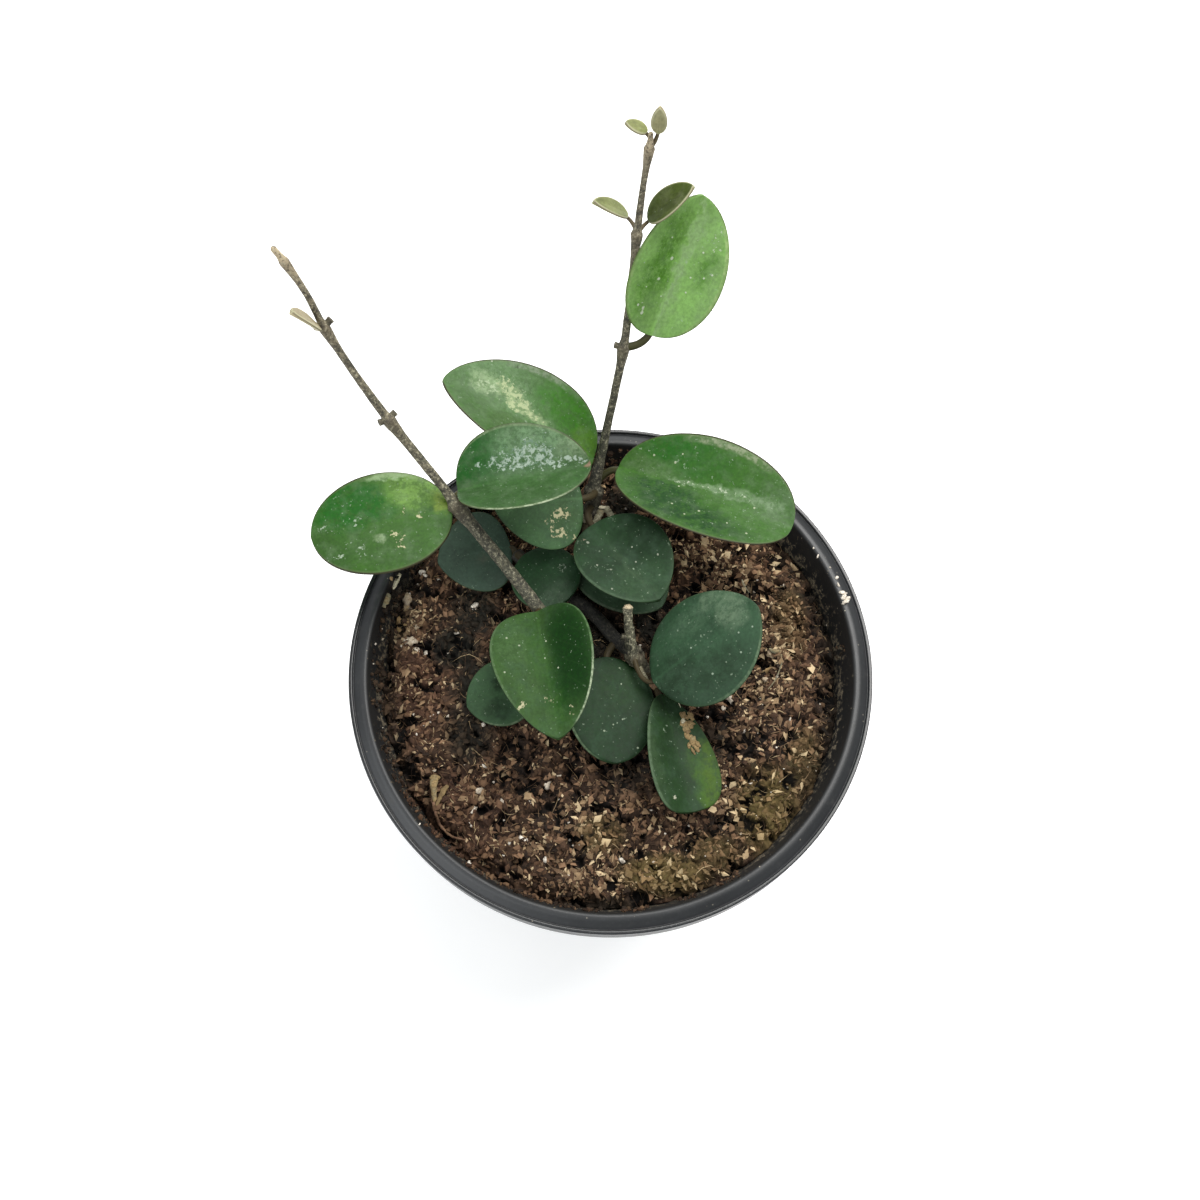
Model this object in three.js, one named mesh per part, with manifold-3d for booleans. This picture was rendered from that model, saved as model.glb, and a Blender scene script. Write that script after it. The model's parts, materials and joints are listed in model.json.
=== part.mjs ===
// A young hoya in a nursery pot: a thin moulded pot with a rolled rim, its soil, three woody
// stems that stand in plain holes in the soil, the leaves that grow from their nodes, and one
// dry stalk on the soil. Millimetres, +Z up. The origin is the middle of the pot's underside,
// +Y points away from the front and +X to the right.

import * as THREE from 'three';
import { mergeVertices } from 'three/addons/utils/BufferGeometryUtils.js';
import Module from 'manifold-3d';

const wasm = await Module();
wasm.setup();

// ---- driving dimensions ----

const clearance = 0.3; // left between pieces that touch
const tolerance = 0.01; // for telling which points lie on the soil's top and its edge
const weld = 1e-4; // points closer than this are one

const pot = {
  height: 84,
  rimRadius: 57.7,
  wall: 1.2,
  footRadius: 41,
  neckRadius: 51.7, // inside the wall, at neckHeight
  neckHeight: 74,
  floor: 1.6,
  floorCorner: 0.4, // slant where the wall meets the floor
  slopeShift: 0.8, // keeps the floor's slopes as thick as its flats
  footRound: 1.2,
  channelRise: 2.5, // the drain holes' ring is lifted off the table by this
  padRadius: 14,
  channelInner: 17,
  channelOuter: 33,
  ringInner: 36,
  sides: 60,
};

const rim = {
  lipBottom: 76, // the rolled rim hangs down to here
  beadWidth: 0.9, // outer bead, seen from above
  beadDrop: 1, // the groove inside the bead lies this far below the crown
  beadHeight: 1.6,
  round: 0.5,
  crownWidth: 0.6, // level top beside the inside edge; from there the band slopes out to the groove
};

const drain = { count: 8, diameter: 8, depth: 12, sides: 12 };

const soil = {
  level: 75, // at the wall
  mound: 1.4, // higher than that in the middle
  edgeDip: 1.1, // sunk beside the wall
  dipWidth: 5,
  rings: 14,
  wallPoint: 40, // height of one more point on its side
};

// The soil's lumps: waves along the ground, each with its height, its direction and its shift.
const soilWaves = [
  { height: 0.3, alongX: 0.31, alongY: 0.27, shift: 1.3 },
  { height: 0.3, alongX: -0.29, alongY: 0.33, shift: 0.4 },
  { height: 0.2, alongX: 0.83, alongY: 0.55, shift: 0 },
  { height: 0.2, alongX: -0.41, alongY: 0.94, shift: 2 },
];

const crease = 0.25; // share of the half blade over which the fold at the midrib is rounded
const stalkBend = 0.45; // where a leaf's stalk bends into the midrib, as a share of its length
const grown = {
  blade: { edge: 0.8, middle: 1.5, rows: 10, columns: 6 },
  stalk: { stemEnd: 1, bladeEnd: 0.85, overlap: 2.2, sides: 6, steps: 4 },
};
const young = {
  blade: { edge: 0.6, middle: 1.1, rows: 8, columns: 4 },
  stalk: { stemEnd: 0.55, bladeEnd: 0.45, overlap: 0.9, sides: 6, steps: 2 },
};

// Each stem: points along it from its buried foot to its tip, each with the radius there, and the
// places along it where it swells into a node. It is thinner above a node than below it.
const rightStem = {
  name: 'stem_right',
  points: [
    [-4.8, 35.5, 62, 1.75], [-4.2, 37.9, 75, 1.75], [-3.7, 42.6, 83, 1.6], [-2.1, 47.6, 90, 1.15],
    [-0.3, 53, 98, 0.95], [2.8, 62.5, 113, 0.95], [4.1, 69.2, 125, 0.85], [5.1, 74.3, 137, 0.85],
    [6.1, 78, 148, 0.65], [7, 80.6, 155, 0.75], [7.2, 81.2, 159, 0.5],
  ],
  nodes: [[-4, 40, 78.5], [-3.7, 42.6, 83], [2.8, 62.5, 113], [5.1, 74.3, 137], [7, 80.6, 155]],
  scars: [{ at: [2.8, 62.5, 113], towards: [-1, 0.1, 0.25] }],
};

const leftStem = {
  name: 'stem_left',
  points: [
    [-9.5, 7, 62, 1.8], [-10.4, 7.4, 75, 1.8], [-12, 8.6, 82.5, 1.75], [-15.5, 11.6, 87.2, 1.7],
    [-22.9, 19.7, 93.5, 1.6], [-33.3, 30.3, 103, 1.5], [-35.2, 32.4, 105.6, 1.05],
    [-45.8, 42.3, 119, 1], [-51.1, 47.2, 129, 0.83], [-55.6, 51.9, 139, 0.83],
    [-58, 55.5, 145, 0.7], [-61.2, 58.7, 151, 0.7], [-62.7, 59.7, 154, 0.65],
  ],
  nodes: [
    [-14.6, 10.8, 86.4], [-33.3, 30.3, 103], [-45.8, 42.3, 119], [-55.6, 51.9, 139],
    [-61.2, 58.7, 151],
  ],
  scars: [
    { at: [-45.8, 42.3, 119], towards: [-0.9, -0.5, 0.1] },
    { at: [-45.8, 42.3, 119], towards: [0.7, 0.7, 0.1] },
    { at: [-55.6, 51.9, 139], towards: [0.7, 0.6, 0.4] },
  ],
};

const centreStem = {
  name: 'stem_centre',
  points: [
    [7.6, -2.4, 62, 1.9], [7, 0.2, 76, 1.9], [5.8, 2, 80.5, 1.7], [4.8, 3.4, 84, 1.25],
    [4, 7, 88.5, 1.05], [3.8, 11, 92.5, 1.05],
  ],
  nodes: [[6.6, 0.8, 77.5], [5, 3, 83.3]],
  scars: [{ at: [5, 3, 83.3], towards: [0.9, 0.3, 0.3] }],
};

const lowBranch = {
  points: [
    [4.8, 3.2, 83.2, 1.5], [1.8, 6.2, 81.2, 1.5], [-4.6, 14.2, 79.3, 1.5],
    [-14.9, 21.9, 79.3, 1.3], [-22, 28, 79.6, 1.1],
  ],
  nodes: [[-21.6, 27.6, 79.6]],
  scars: [],
};

const stemSides = 8;
const stemStep = 2.8;
const nodeSwelling = { bulge: 0.42, width: 1.7 };
const scarSize = { length: 2.4, root: 0.95, end: 0.6, sides: 6, steps: 2 };

// Each leaf: the stem and the point it grows from, where its blade starts, the way it points
// (degrees from +X towards +Y), how steeply it rises at its base and how far it arches down,
// its length and width, its roll and twist about its midrib, the fold of its two halves, how
// blunt (low) or pointed (high) its tip is, and how full (low) or narrow (high) its base is.
const leaves = [
  {
    name: 'leaf_node1_left', colour: 'leafGreen', stem: 'right',
    from: [-3.7, 42.6, 83], base: [-4, 47.5, 89], heading: 161, rise: 33, arch: 15,
    length: 38.5, width: 25.5, roll: 10, twist: 1, fold: 24, tip: 0.12, heel: 0.48,
  },
  {
    name: 'leaf_node1_right', colour: 'leafGreen', stem: 'right',
    from: [-3.7, 42.6, 83], base: [2, 45.5, 88], heading: -24, rise: 16, arch: 19,
    length: 42, width: 27, roll: -3, twist: 0, fold: 27, tip: -0.04, heel: 0.5,
  },
  {
    name: 'leaf_node2_right', colour: 'leafGreen', stem: 'right',
    from: [2.8, 62.5, 113], base: [8.5, 64.5, 115], heading: 62, rise: 50, arch: 7,
    length: 31, width: 22.5, roll: 28, twist: 6, fold: 28, tip: 0.06, heel: 0.5,
  },
  {
    name: 'leaf_foot_left', colour: 'leafDark', stem: 'right',
    from: [-3.7, 42.3, 82.4], base: [-6.5, 37.5, 89], heading: -167, rise: 18, arch: 12,
    length: 20, width: 22.5, roll: -10, twist: 2, fold: 5, tip: 0.18, heel: 0.46,
  },
  {
    name: 'leaf_foot_upper', colour: 'leafDark', stem: 'right',
    from: [-4, 40, 79.2], base: [-4, 32, 86], heading: -53, rise: 18, arch: 12,
    length: 25, width: 22.5, roll: -5, twist: -1, fold: 20, tip: 0.12, heel: 0.56,
  },
  {
    name: 'leaf_foot_lower', colour: 'leafDark', stem: 'right',
    from: [-4.2, 38.1, 77.3], base: [-5, 31, 79.3], heading: -45, rise: 9, arch: 12,
    length: 23.5, width: 21, roll: -1, twist: -1, fold: 9, tip: 0.1, heel: 0.42,
  },
  {
    name: 'leaf_node2_west', colour: 'leafGreen', stem: 'left',
    from: [-33.3, 30.3, 103], base: [-34, 29, 102], heading: -168, rise: 5, arch: 10,
    length: 30.5, width: 23, roll: -2, twist: -2, fold: 3, tip: 0, heel: 0.48,
  },
  {
    name: 'leaf_node2_east', colour: 'leafGreen', stem: 'left',
    from: [-33.3, 30.3, 103], base: [-32.5, 32.5, 104], heading: 9, rise: 14, arch: 12,
    length: 29, width: 24, roll: -1, twist: 15, fold: 35, tip: 0.06, heel: 0.44,
  },
  {
    name: 'leaf_front_folded', colour: 'leafDark', stem: 'left',
    from: [-14.6, 10.8, 86.4], base: [-16, 10, 90], heading: -80, rise: 21, arch: 16,
    length: 31, width: 24, roll: 5, twist: -11, fold: 24, tip: 0.18, heel: 0.36,
  },
  {
    name: 'leaf_front_low', colour: 'leafDark', stem: 'left',
    from: [-10.8, 8, 77.6], base: [-18, -3.5, 80.5], heading: -159, rise: 5, arch: 11,
    length: 14.5, width: 15, roll: -6, twist: 1, fold: 9, tip: 0.12, heel: 0.46,
  },
  {
    name: 'leaf_centre_right', colour: 'leafDark', stem: 'centre',
    from: [5, 3, 83.3], base: [9.5, -4.5, 86], heading: 31, rise: 33, arch: 8,
    length: 28.5, width: 25, roll: -11, twist: -1, fold: -10, tip: 0.12, heel: 0.52,
  },
  {
    name: 'leaf_centre_front', colour: 'leafDark', stem: 'centre',
    from: [1.8, 6.2, 81.2], base: [-1, 2.5, 80.8], heading: -85, rise: 9, arch: 9,
    length: 24.5, width: 20, roll: -12, twist: -1, fold: 5, tip: 0.02, heel: 0.48,
  },
  {
    name: 'leaf_centre_curled', colour: 'leafDark', stem: 'centre',
    from: [6.7, 0.7, 77.6], base: [11, -6, 80.5], heading: -77, rise: 13, arch: 12,
    length: 27.5, width: 17, roll: -22, twist: 5, fold: 19, tip: -0.22, heel: 0.6,
  },
  {
    name: 'leaf_branch_left', colour: 'leafDark', stem: 'centre',
    from: [-21.6, 27.6, 79.6], base: [-23, 29.5, 79.5], heading: -165, rise: 10, arch: 12,
    length: 17, width: 19.5, roll: -5, twist: 1, fold: 7, tip: 0.2, heel: 0.44,
  },
  {
    name: 'leaf_branch_right', colour: 'leafDark', stem: 'centre',
    from: [-21.6, 27.6, 79.6], base: [-20, 26, 82], heading: -44, rise: 10, arch: 11,
    length: 15, width: 16, roll: -1, twist: 0, fold: 3, tip: -0.08, heel: 0.46,
  },
  {
    name: 'young_leaf_node3_right', colour: 'leafYoung', stem: 'right',
    from: [5.1, 74.3, 137], base: [7.5, 77, 138], heading: 12, rise: 50, arch: 13,
    length: 12, width: 7, roll: -2, twist: 1, fold: 16, tip: 0.14, heel: 0.48,
  },
  {
    name: 'young_leaf_node3_left', colour: 'leafYoung', stem: 'right',
    from: [5.1, 74.3, 137], base: [3, 78, 138], heading: -167, rise: 50, arch: 13,
    length: 9.5, width: 4.5, roll: 2, twist: 1, fold: 16, tip: 0.14, heel: 0.46,
  },
  {
    name: 'young_leaf_tip_left', colour: 'leafYoung', stem: 'right',
    from: [7, 80.6, 155], base: [6.4, 82, 158], heading: 169, rise: 29, arch: 12,
    length: 4.5, width: 3, roll: -1, twist: 1, fold: 13, tip: 0.12, heel: 0.46,
  },
  {
    name: 'young_leaf_tip_right', colour: 'leafYoung', stem: 'right',
    from: [7, 80.6, 155], base: [8.6, 81.6, 158.5], heading: 84, rise: 88, arch: 12,
    length: 6, width: 3.2, roll: 0, twist: 0, fold: 12, tip: 0.1, heel: 0.48,
  },
  {
    name: 'young_leaf_left', colour: 'leafYoung', stem: 'left',
    from: [-55.6, 51.9, 139], base: [-56.5, 51, 140], heading: -149, rise: 74, arch: 12,
    length: 9.5, width: 5, roll: 8, twist: 1, fold: 11, tip: 0.1, heel: 0.48,
  },
];

const dryStalk = {
  // along the soil, from its broad dry end to its thin end
  points: [[-39.1, -22.9], [-38, -28.4], [-35.6, -33.2], [-30.8, -36.6]],
  radius: [1.1, 0.4],
  lift: 0.65,
  sides: 7,
  steps: 10,
};

const finishes = {
  potPlastic: { color: 0x24272a, roughness: 0.42, metalness: 0 },
  soil: { color: 0x4a3527, roughness: 0.95, metalness: 0 },
  bark: { color: 0x6b5a4c, roughness: 0.75, metalness: 0 },
  leafGreen: { color: 0x3f7a2f, roughness: 0.42, metalness: 0 },
  leafDark: { color: 0x28523a, roughness: 0.5, metalness: 0 },
  leafYoung: { color: 0x7c8f55, roughness: 0.5, metalness: 0 },
  dryStalk: { color: 0x8a5f3a, roughness: 0.85, metalness: 0 },
};

// ---- helpers ----

const vector = ([x, y, z]) => new THREE.Vector3(x, y, z);
const radians = (degrees) => THREE.MathUtils.degToRad(degrees);

// A closed mesh as a solid: shared vertices merged, and faces with no area at the axis dropped.
function solidFrom(geometry) {
  geometry.deleteAttribute('normal');
  geometry.deleteAttribute('uv');
  const merged = mergeVertices(geometry, weld);
  const index = merged.index.array;
  const faces = [];
  for (let i = 0; i < index.length; i += 3) {
    const [a, b, c] = [index[i], index[i + 1], index[i + 2]];
    if (a !== b && b !== c && c !== a) faces.push(a, b, c);
  }
  return new wasm.Manifold(new wasm.Mesh({
    numProp: 3,
    vertProperties: new Float32Array(merged.attributes.position.array),
    triVerts: new Uint32Array(faces),
  }));
}

// A solid from a list of points and a list of triangles that face outwards.
function solidFromLists(vertices, faces) {
  const geometry = new THREE.BufferGeometry();
  geometry.setAttribute('position', new THREE.Float32BufferAttribute(vertices.flat(), 3));
  geometry.setIndex(faces.flat());
  return solidFrom(geometry);
}

// The largest body of a solid, so that no loose scrap is left.
function mainBody(solid) {
  const bodies = solid.decompose();
  bodies.sort((a, b) => b.volume() - a.volume());
  return bodies[0];
}

function meshFrom(name, solid, finish) {
  const { vertProperties, triVerts } = mainBody(solid).getMesh();
  const geometry = new THREE.BufferGeometry();
  geometry.setAttribute('position', new THREE.BufferAttribute(new Float32Array(vertProperties), 3));
  geometry.setIndex(new THREE.BufferAttribute(new Uint32Array(triVerts), 1));
  geometry.computeVertexNormals();
  const mesh = new THREE.Mesh(geometry, new THREE.MeshStandardMaterial(finishes[finish]));
  mesh.name = name;
  return mesh;
}

// A round bar along a curve, with its own radius at each step and flat ends.
function taperedBar(curve, steps, sides, radiusAt) {
  const frames = curve.computeFrenetFrames(steps, false);
  const vertices = [];
  const faces = [];
  for (let i = 0; i <= steps; i += 1) {
    const u = i / steps;
    const centre = curve.getPointAt(u);
    for (let j = 0; j < sides; j += 1) {
      const angle = (2 * Math.PI * j) / sides;
      const point = centre.clone();
      point.addScaledVector(frames.normals[i], radiusAt(u, centre) * Math.cos(angle));
      point.addScaledVector(frames.binormals[i], radiusAt(u, centre) * Math.sin(angle));
      vertices.push(point.toArray());
    }
  }
  for (let i = 0; i < steps; i += 1) {
    for (let j = 0; j < sides; j += 1) {
      const a = i * sides + j;
      const b = i * sides + ((j + 1) % sides);
      faces.push([a, b, b + sides], [a, b + sides, a + sides]);
    }
  }
  const last = steps * sides;
  for (let j = 1; j < sides - 1; j += 1) {
    faces.push([0, j + 1, j], [last, last + j, last + j + 1]);
  }
  return solidFromLists(vertices, faces);
}

// A profile of [radius, height] turned round the upright axis.
function turnedRound(profile) {
  const outline = profile.map(([radius, height]) => new THREE.Vector2(radius, height));
  return new THREE.LatheGeometry(outline, pot.sides).rotateX(Math.PI / 2);
}

// ---- pot ----

// Inside radius of the wall at a height above the floor.
function insideRadius(z) {
  const slope = (pot.neckRadius - (pot.footRadius - pot.wall)) / pot.neckHeight;
  return pot.footRadius - pot.wall + slope * z;
}

// The floor's upper side: a low centre pad, the lifted ring of drain holes, and the foot ring.
function floorProfile(lift) {
  const low = pot.floor + lift;
  const high = pot.floor + pot.channelRise + lift;
  return [
    [pot.padRadius, low], [pot.channelInner, high], [pot.channelOuter, high], [pot.ringInner, low],
  ];
}

function potShell() {
  const { height, rimRadius, wall, footRadius, footRound, floor, floorCorner, slopeShift } = pot;
  const underRim = height - wall;
  const lipInside = rimRadius - wall;
  const groove = rimRadius - rim.beadWidth;
  const wallOutside = (z) => insideRadius(z) + wall;
  const outside = [
    [0, 0], [pot.padRadius + slopeShift, 0], [pot.channelInner + slopeShift, pot.channelRise],
    [pot.channelOuter - slopeShift, pot.channelRise], [pot.ringInner - slopeShift, 0],
    [footRadius - footRound, 0], [footRadius, footRound],
  ];
  const rolledUnder = [
    [wallOutside(underRim - rim.round), underRim - rim.round],
    [wallOutside(underRim) + rim.round, underRim], [lipInside - rim.round, underRim],
    [lipInside, underRim - rim.round], [lipInside - rim.round, rim.lipBottom],
  ];
  const beadTop = height - rim.beadDrop;
  const rolledOver = [
    [rimRadius - rim.round, rim.lipBottom], [rimRadius, beadTop - rim.beadHeight],
    [rimRadius, beadTop - rim.round], [rimRadius - rim.round, beadTop + rim.round / 4],
    [groove, beadTop], [insideRadius(height) + 2 * rim.round + rim.crownWidth, height],
    [insideRadius(height) + 2 * rim.round, height],
    [insideRadius(height), height - 2 * rim.round],
  ];
  const inside = [[insideRadius(floor) - floorCorner, floor], ...floorProfile(0).reverse(), [0, floor]];
  const profile = [...outside, ...rolledUnder, ...rolledOver, ...inside];
  return solidFrom(turnedRound(profile));
}

function drainHoles() {
  const ringRadius = (pot.channelInner + pot.channelOuter) / 2;
  const radius = drain.diameter / 2;
  const holes = [];
  for (let i = 0; i < drain.count; i += 1) {
    const hole = new THREE.CylinderGeometry(radius, radius, drain.depth, drain.sides);
    const angle = (2 * Math.PI * i) / drain.count;
    hole.rotateX(Math.PI / 2);
    hole.translate(ringRadius * Math.cos(angle), ringRadius * Math.sin(angle), pot.channelRise);
    holes.push(solidFrom(hole));
  }
  return holes;
}

// ---- stems ----

// The point that lies past an end, away from its neighbour.
function pastEnd(end, neighbour, distance) {
  return end.clone().addScaledVector(end.clone().sub(neighbour).normalize(), distance);
}

// How many times thicker a stem is near its nodes.
function swelling(stem, centre) {
  let factor = 1;
  for (const node of stem.nodes) {
    const distance = centre.distanceTo(vector(node));
    factor += nodeSwelling.bulge * Math.exp(-((distance / nodeSwelling.width) ** 2));
  }
  return factor;
}

// The stem as one bar; with extra it is fattened and longer at both ends by that much.
function stemBar(stem, extra = 0) {
  const points = stem.points.map(vector);
  const radii = stem.points.map((point) => point[3]);
  if (extra > 0) {
    points.unshift(pastEnd(points[0], points[1], extra));
    points.push(pastEnd(points.at(-1), points.at(-2), extra));
    radii.unshift(radii[0]);
    radii.push(radii.at(-1));
  }
  const curve = new THREE.CatmullRomCurve3(points, false, 'centripetal');
  const steps = Math.ceil(curve.getLength() / stemStep);
  const radiusAt = (u, centre) => {
    const place = curve.getUtoTmapping(u) * (radii.length - 1);
    const before = Math.min(Math.floor(place), radii.length - 2);
    const plain = THREE.MathUtils.lerp(radii[before], radii[before + 1], place - before);
    return plain * swelling(stem, centre) + extra;
  };
  return taperedBar(curve, steps, stemSides, radiusAt);
}

// A short stub where a leaf has fallen.
function scarStub({ at, towards }) {
  const start = vector(at);
  const end = start.clone().addScaledVector(vector(towards).normalize(), scarSize.length);
  const line = new THREE.LineCurve3(start, end);
  const { root, end: tip, steps, sides } = scarSize;
  return taperedBar(line, steps, sides, (u) => root + (tip - root) * u);
}

function wholeStem(stem, branches = []) {
  let solid = stemBar(stem);
  for (const branch of branches) solid = solid.add(stemBar(branch));
  for (const part of [stem, ...branches]) {
    for (const scar of part.scars) solid = solid.add(scarStub(scar));
  }
  return solid;
}

// ---- leaves ----

const ageOf = (leaf) => (leaf.colour === 'leafYoung' ? young : grown);

// The midrib at s from 0 to 1: an arc that starts at the rise angle and bends down by the arch.
function midribPoint(leaf, s) {
  const start = radians(leaf.rise);
  const arch = radians(leaf.arch);
  const angle = start - arch * s;
  const run = (leaf.length * (Math.sin(start) - Math.sin(angle))) / arch;
  const climb = (leaf.length * (Math.cos(angle) - Math.cos(start))) / arch;
  const heading = radians(leaf.heading);
  return new THREE.Vector3(
    leaf.base[0] + run * Math.cos(heading),
    leaf.base[1] + run * Math.sin(heading),
    leaf.base[2] + climb,
  );
}

// Directions at s: along the midrib, across the blade and out of its upper face.
function bladeFrame(leaf, s) {
  const heading = radians(leaf.heading);
  const angle = radians(leaf.rise - leaf.arch * s);
  const roll = radians(leaf.roll + leaf.twist * (s - 0.5));
  const along = new THREE.Vector3(
    Math.cos(angle) * Math.cos(heading),
    Math.cos(angle) * Math.sin(heading),
    Math.sin(angle),
  );
  const level = new THREE.Vector3(-Math.sin(heading), Math.cos(heading), 0);
  const upright = along.clone().cross(level);
  const across = level.multiplyScalar(Math.cos(roll)).addScaledVector(upright, Math.sin(roll));
  const out = along.clone().cross(across);
  return { along, across, out };
}

// Half the blade's width at s: s^heel * (1 - s)^(0.5 + tip), scaled to the leaf's width.
function halfWidth(leaf, s) {
  const front = leaf.heel;
  const back = 0.5 + leaf.tip;
  const widest = front / (front + back);
  const most = widest ** front * (1 - widest) ** back;
  return ((leaf.width / 2) * s ** front * (1 - s) ** back) / most;
}

// A point of the blade's upper (side 1) or lower (side -1) face; w runs from -1 to 1 across it.
function bladePoint(leaf, s, w, side) {
  const { across, out } = bladeFrame(leaf, s);
  const half = halfWidth(leaf, s);
  const fold = radians(leaf.fold);
  const bent = Math.sqrt(w * w + crease ** 2) - crease;
  const { edge, middle } = ageOf(leaf).blade;
  const thickness = edge + (middle - edge) * (1 - w * w);
  const lift = half * Math.tan(fold) * bent + (side * thickness) / 2;
  const point = midribPoint(leaf, s);
  return point.addScaledVector(across, half * w * Math.cos(fold)).addScaledVector(out, lift);
}

// The blade: both faces split into the same triangles, joined round the edge, with a short
// upright end at the base and at the tip.
function bladeSolid(leaf) {
  const { rows, columns } = ageOf(leaf).blade;
  const vertices = [];
  const faces = [];
  const number = {};
  const add = (key, point) => {
    number[key] = vertices.length;
    vertices.push(point.toArray());
  };
  for (const side of [1, -1]) {
    for (let i = 0; i <= rows; i += 1) {
      const s = (1 - Math.cos((Math.PI * i) / rows)) / 2;
      const ended = i === 0 || i === rows;
      for (let j = 0; j <= columns; j += 1) {
        const w = ended ? 0 : (2 * j) / columns - 1;
        if (!ended || j === 0) add(`${side} ${i} ${j}`, bladePoint(leaf, s, w, side));
        else number[`${side} ${i} ${j}`] = number[`${side} ${i} 0`];
      }
    }
  }
  const face = (a, b, c) => {
    const [p, q, r] = [number[a], number[b], number[c]];
    if (p !== q && q !== r && r !== p) faces.push([p, q, r]);
  };
  for (let i = 0; i < rows; i += 1) {
    for (let j = 0; j < columns; j += 1) {
      const top = [`1 ${i} ${j}`, `1 ${i + 1} ${j}`, `1 ${i + 1} ${j + 1}`, `1 ${i} ${j + 1}`];
      const under = top.map((key) => `-${key}`);
      face(top[0], top[1], top[2]);
      face(top[0], top[2], top[3]);
      face(under[0], under[2], under[1]);
      face(under[0], under[3], under[2]);
    }
    for (const [j, turn] of [[0, 1], [columns, -1]]) {
      const [a, b] = [`1 ${i} ${j}`, `1 ${i + 1} ${j}`];
      const [c, d] = [`-1 ${i} ${j}`, `-1 ${i + 1} ${j}`];
      if (turn === 1) {
        face(a, c, d);
        face(a, d, b);
      } else {
        face(a, d, c);
        face(a, b, d);
      }
    }
  }
  return solidFromLists(vertices, faces);
}

// The leaf's own stalk: from inside the stem to inside the blade, bending into the midrib.
function stalkSolid(leaf) {
  const size = ageOf(leaf).stalk;
  const start = vector(leaf.from);
  const base = vector(leaf.base);
  const { along } = bladeFrame(leaf, 0);
  const end = base.clone().addScaledVector(along, size.overlap);
  const bend = base.clone().addScaledVector(along, -stalkBend * start.distanceTo(base));
  const curve = new THREE.QuadraticBezierCurve3(start, bend, end);
  const radiusAt = (u) => size.stemEnd + (size.bladeEnd - size.stemEnd) * u;
  return taperedBar(curve, size.steps, size.sides, radiusAt);
}

function leafSolid(leaf, fatStems) {
  const whole = bladeSolid(leaf).add(stalkSolid(leaf));
  return whole.subtract(fatStems[leaf.stem]);
}

// ---- soil and what lies on it ----

// Height of the soil: a low mound with lumps, sunk a little beside the wall.
function soilHeight(x, y) {
  const radius = Math.hypot(x, y);
  const edge = insideRadius(soil.level);
  const mound = soil.mound * (1 - (radius / edge) ** 2);
  let lumps = 0;
  for (const wave of soilWaves) {
    lumps += wave.height * Math.sin(wave.alongX * x + wave.alongY * y + wave.shift);
  }
  const dip = THREE.MathUtils.smoothstep(radius, edge - soil.dipWidth, edge);
  return soil.level + mound + lumps - soil.edgeDip * dip;
}

function soilSolid(fatStems) {
  const edge = insideRadius(soil.level) - clearance;
  const bottomEdge = insideRadius(pot.floor) - pot.floorCorner - clearance;
  const top = [];
  for (let i = soil.rings; i >= 0; i -= 1) top.push([(edge * i) / soil.rings, soil.level]);
  const profile = [
    [0, pot.floor + clearance], ...floorProfile(clearance), [bottomEdge, pot.floor + clearance],
    [insideRadius(soil.wallPoint) - clearance, soil.wallPoint], ...top,
  ];
  const turned = turnedRound(profile);
  const position = turned.attributes.position;
  for (let i = 0; i < position.count; i += 1) {
    if (Math.abs(position.getZ(i) - soil.level) > tolerance) continue;
    const [x, y] = [position.getX(i), position.getY(i)];
    const height = soilHeight(x, y);
    const radius = Math.hypot(x, y);
    const inward = radius > edge - tolerance ? (insideRadius(height) - clearance) / radius : 1;
    position.setXYZ(i, x * inward, y * inward, height);
  }
  let solid = solidFrom(turned);
  for (const fat of Object.values(fatStems)) solid = solid.subtract(fat);
  return solid;
}

function dryStalkSolid() {
  const [broad, thin] = dryStalk.radius;
  const points = dryStalk.points.map(([x, y], i) => {
    const radius = broad + ((thin - broad) * i) / (dryStalk.points.length - 1);
    return new THREE.Vector3(x, y, soilHeight(x, y) + radius + dryStalk.lift);
  });
  const curve = new THREE.CatmullRomCurve3(points, false, 'centripetal');
  return taperedBar(curve, dryStalk.steps, dryStalk.sides, (u) => broad + (thin - broad) * u);
}

// ---- the whole plant ----

const group = new THREE.Group();

const fatStems = {
  right: stemBar(rightStem, clearance),
  left: stemBar(leftStem, clearance),
  centre: stemBar(centreStem, clearance).add(stemBar(lowBranch, clearance)),
};

let potSolid = potShell();
for (const hole of drainHoles()) potSolid = potSolid.subtract(hole);
group.add(meshFrom('pot', potSolid, 'potPlastic'));
group.add(meshFrom('soil', soilSolid(fatStems), 'soil'));
group.add(meshFrom(rightStem.name, wholeStem(rightStem), 'bark'));
group.add(meshFrom(leftStem.name, wholeStem(leftStem), 'bark'));
group.add(meshFrom(centreStem.name, wholeStem(centreStem, [lowBranch]), 'bark'));
for (const leaf of leaves) group.add(meshFrom(leaf.name, leafSolid(leaf, fatStems), leaf.colour));
group.add(meshFrom('dry_stalk', dryStalkSolid(), 'dryStalk'));

export default group;
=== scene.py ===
import json
import math

import bpy
import numpy as np
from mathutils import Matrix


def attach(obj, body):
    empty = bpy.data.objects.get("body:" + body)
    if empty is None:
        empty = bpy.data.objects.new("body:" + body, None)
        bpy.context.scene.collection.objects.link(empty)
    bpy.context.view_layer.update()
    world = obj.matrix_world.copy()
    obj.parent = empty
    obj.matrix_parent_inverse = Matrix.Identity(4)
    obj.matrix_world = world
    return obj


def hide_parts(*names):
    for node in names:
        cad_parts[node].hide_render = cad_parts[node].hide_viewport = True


# A young hoya in a black nursery pot. All shapes are worked out in millimetres, in the packed
# model's own frame, and go into the meshes in metres.

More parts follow.
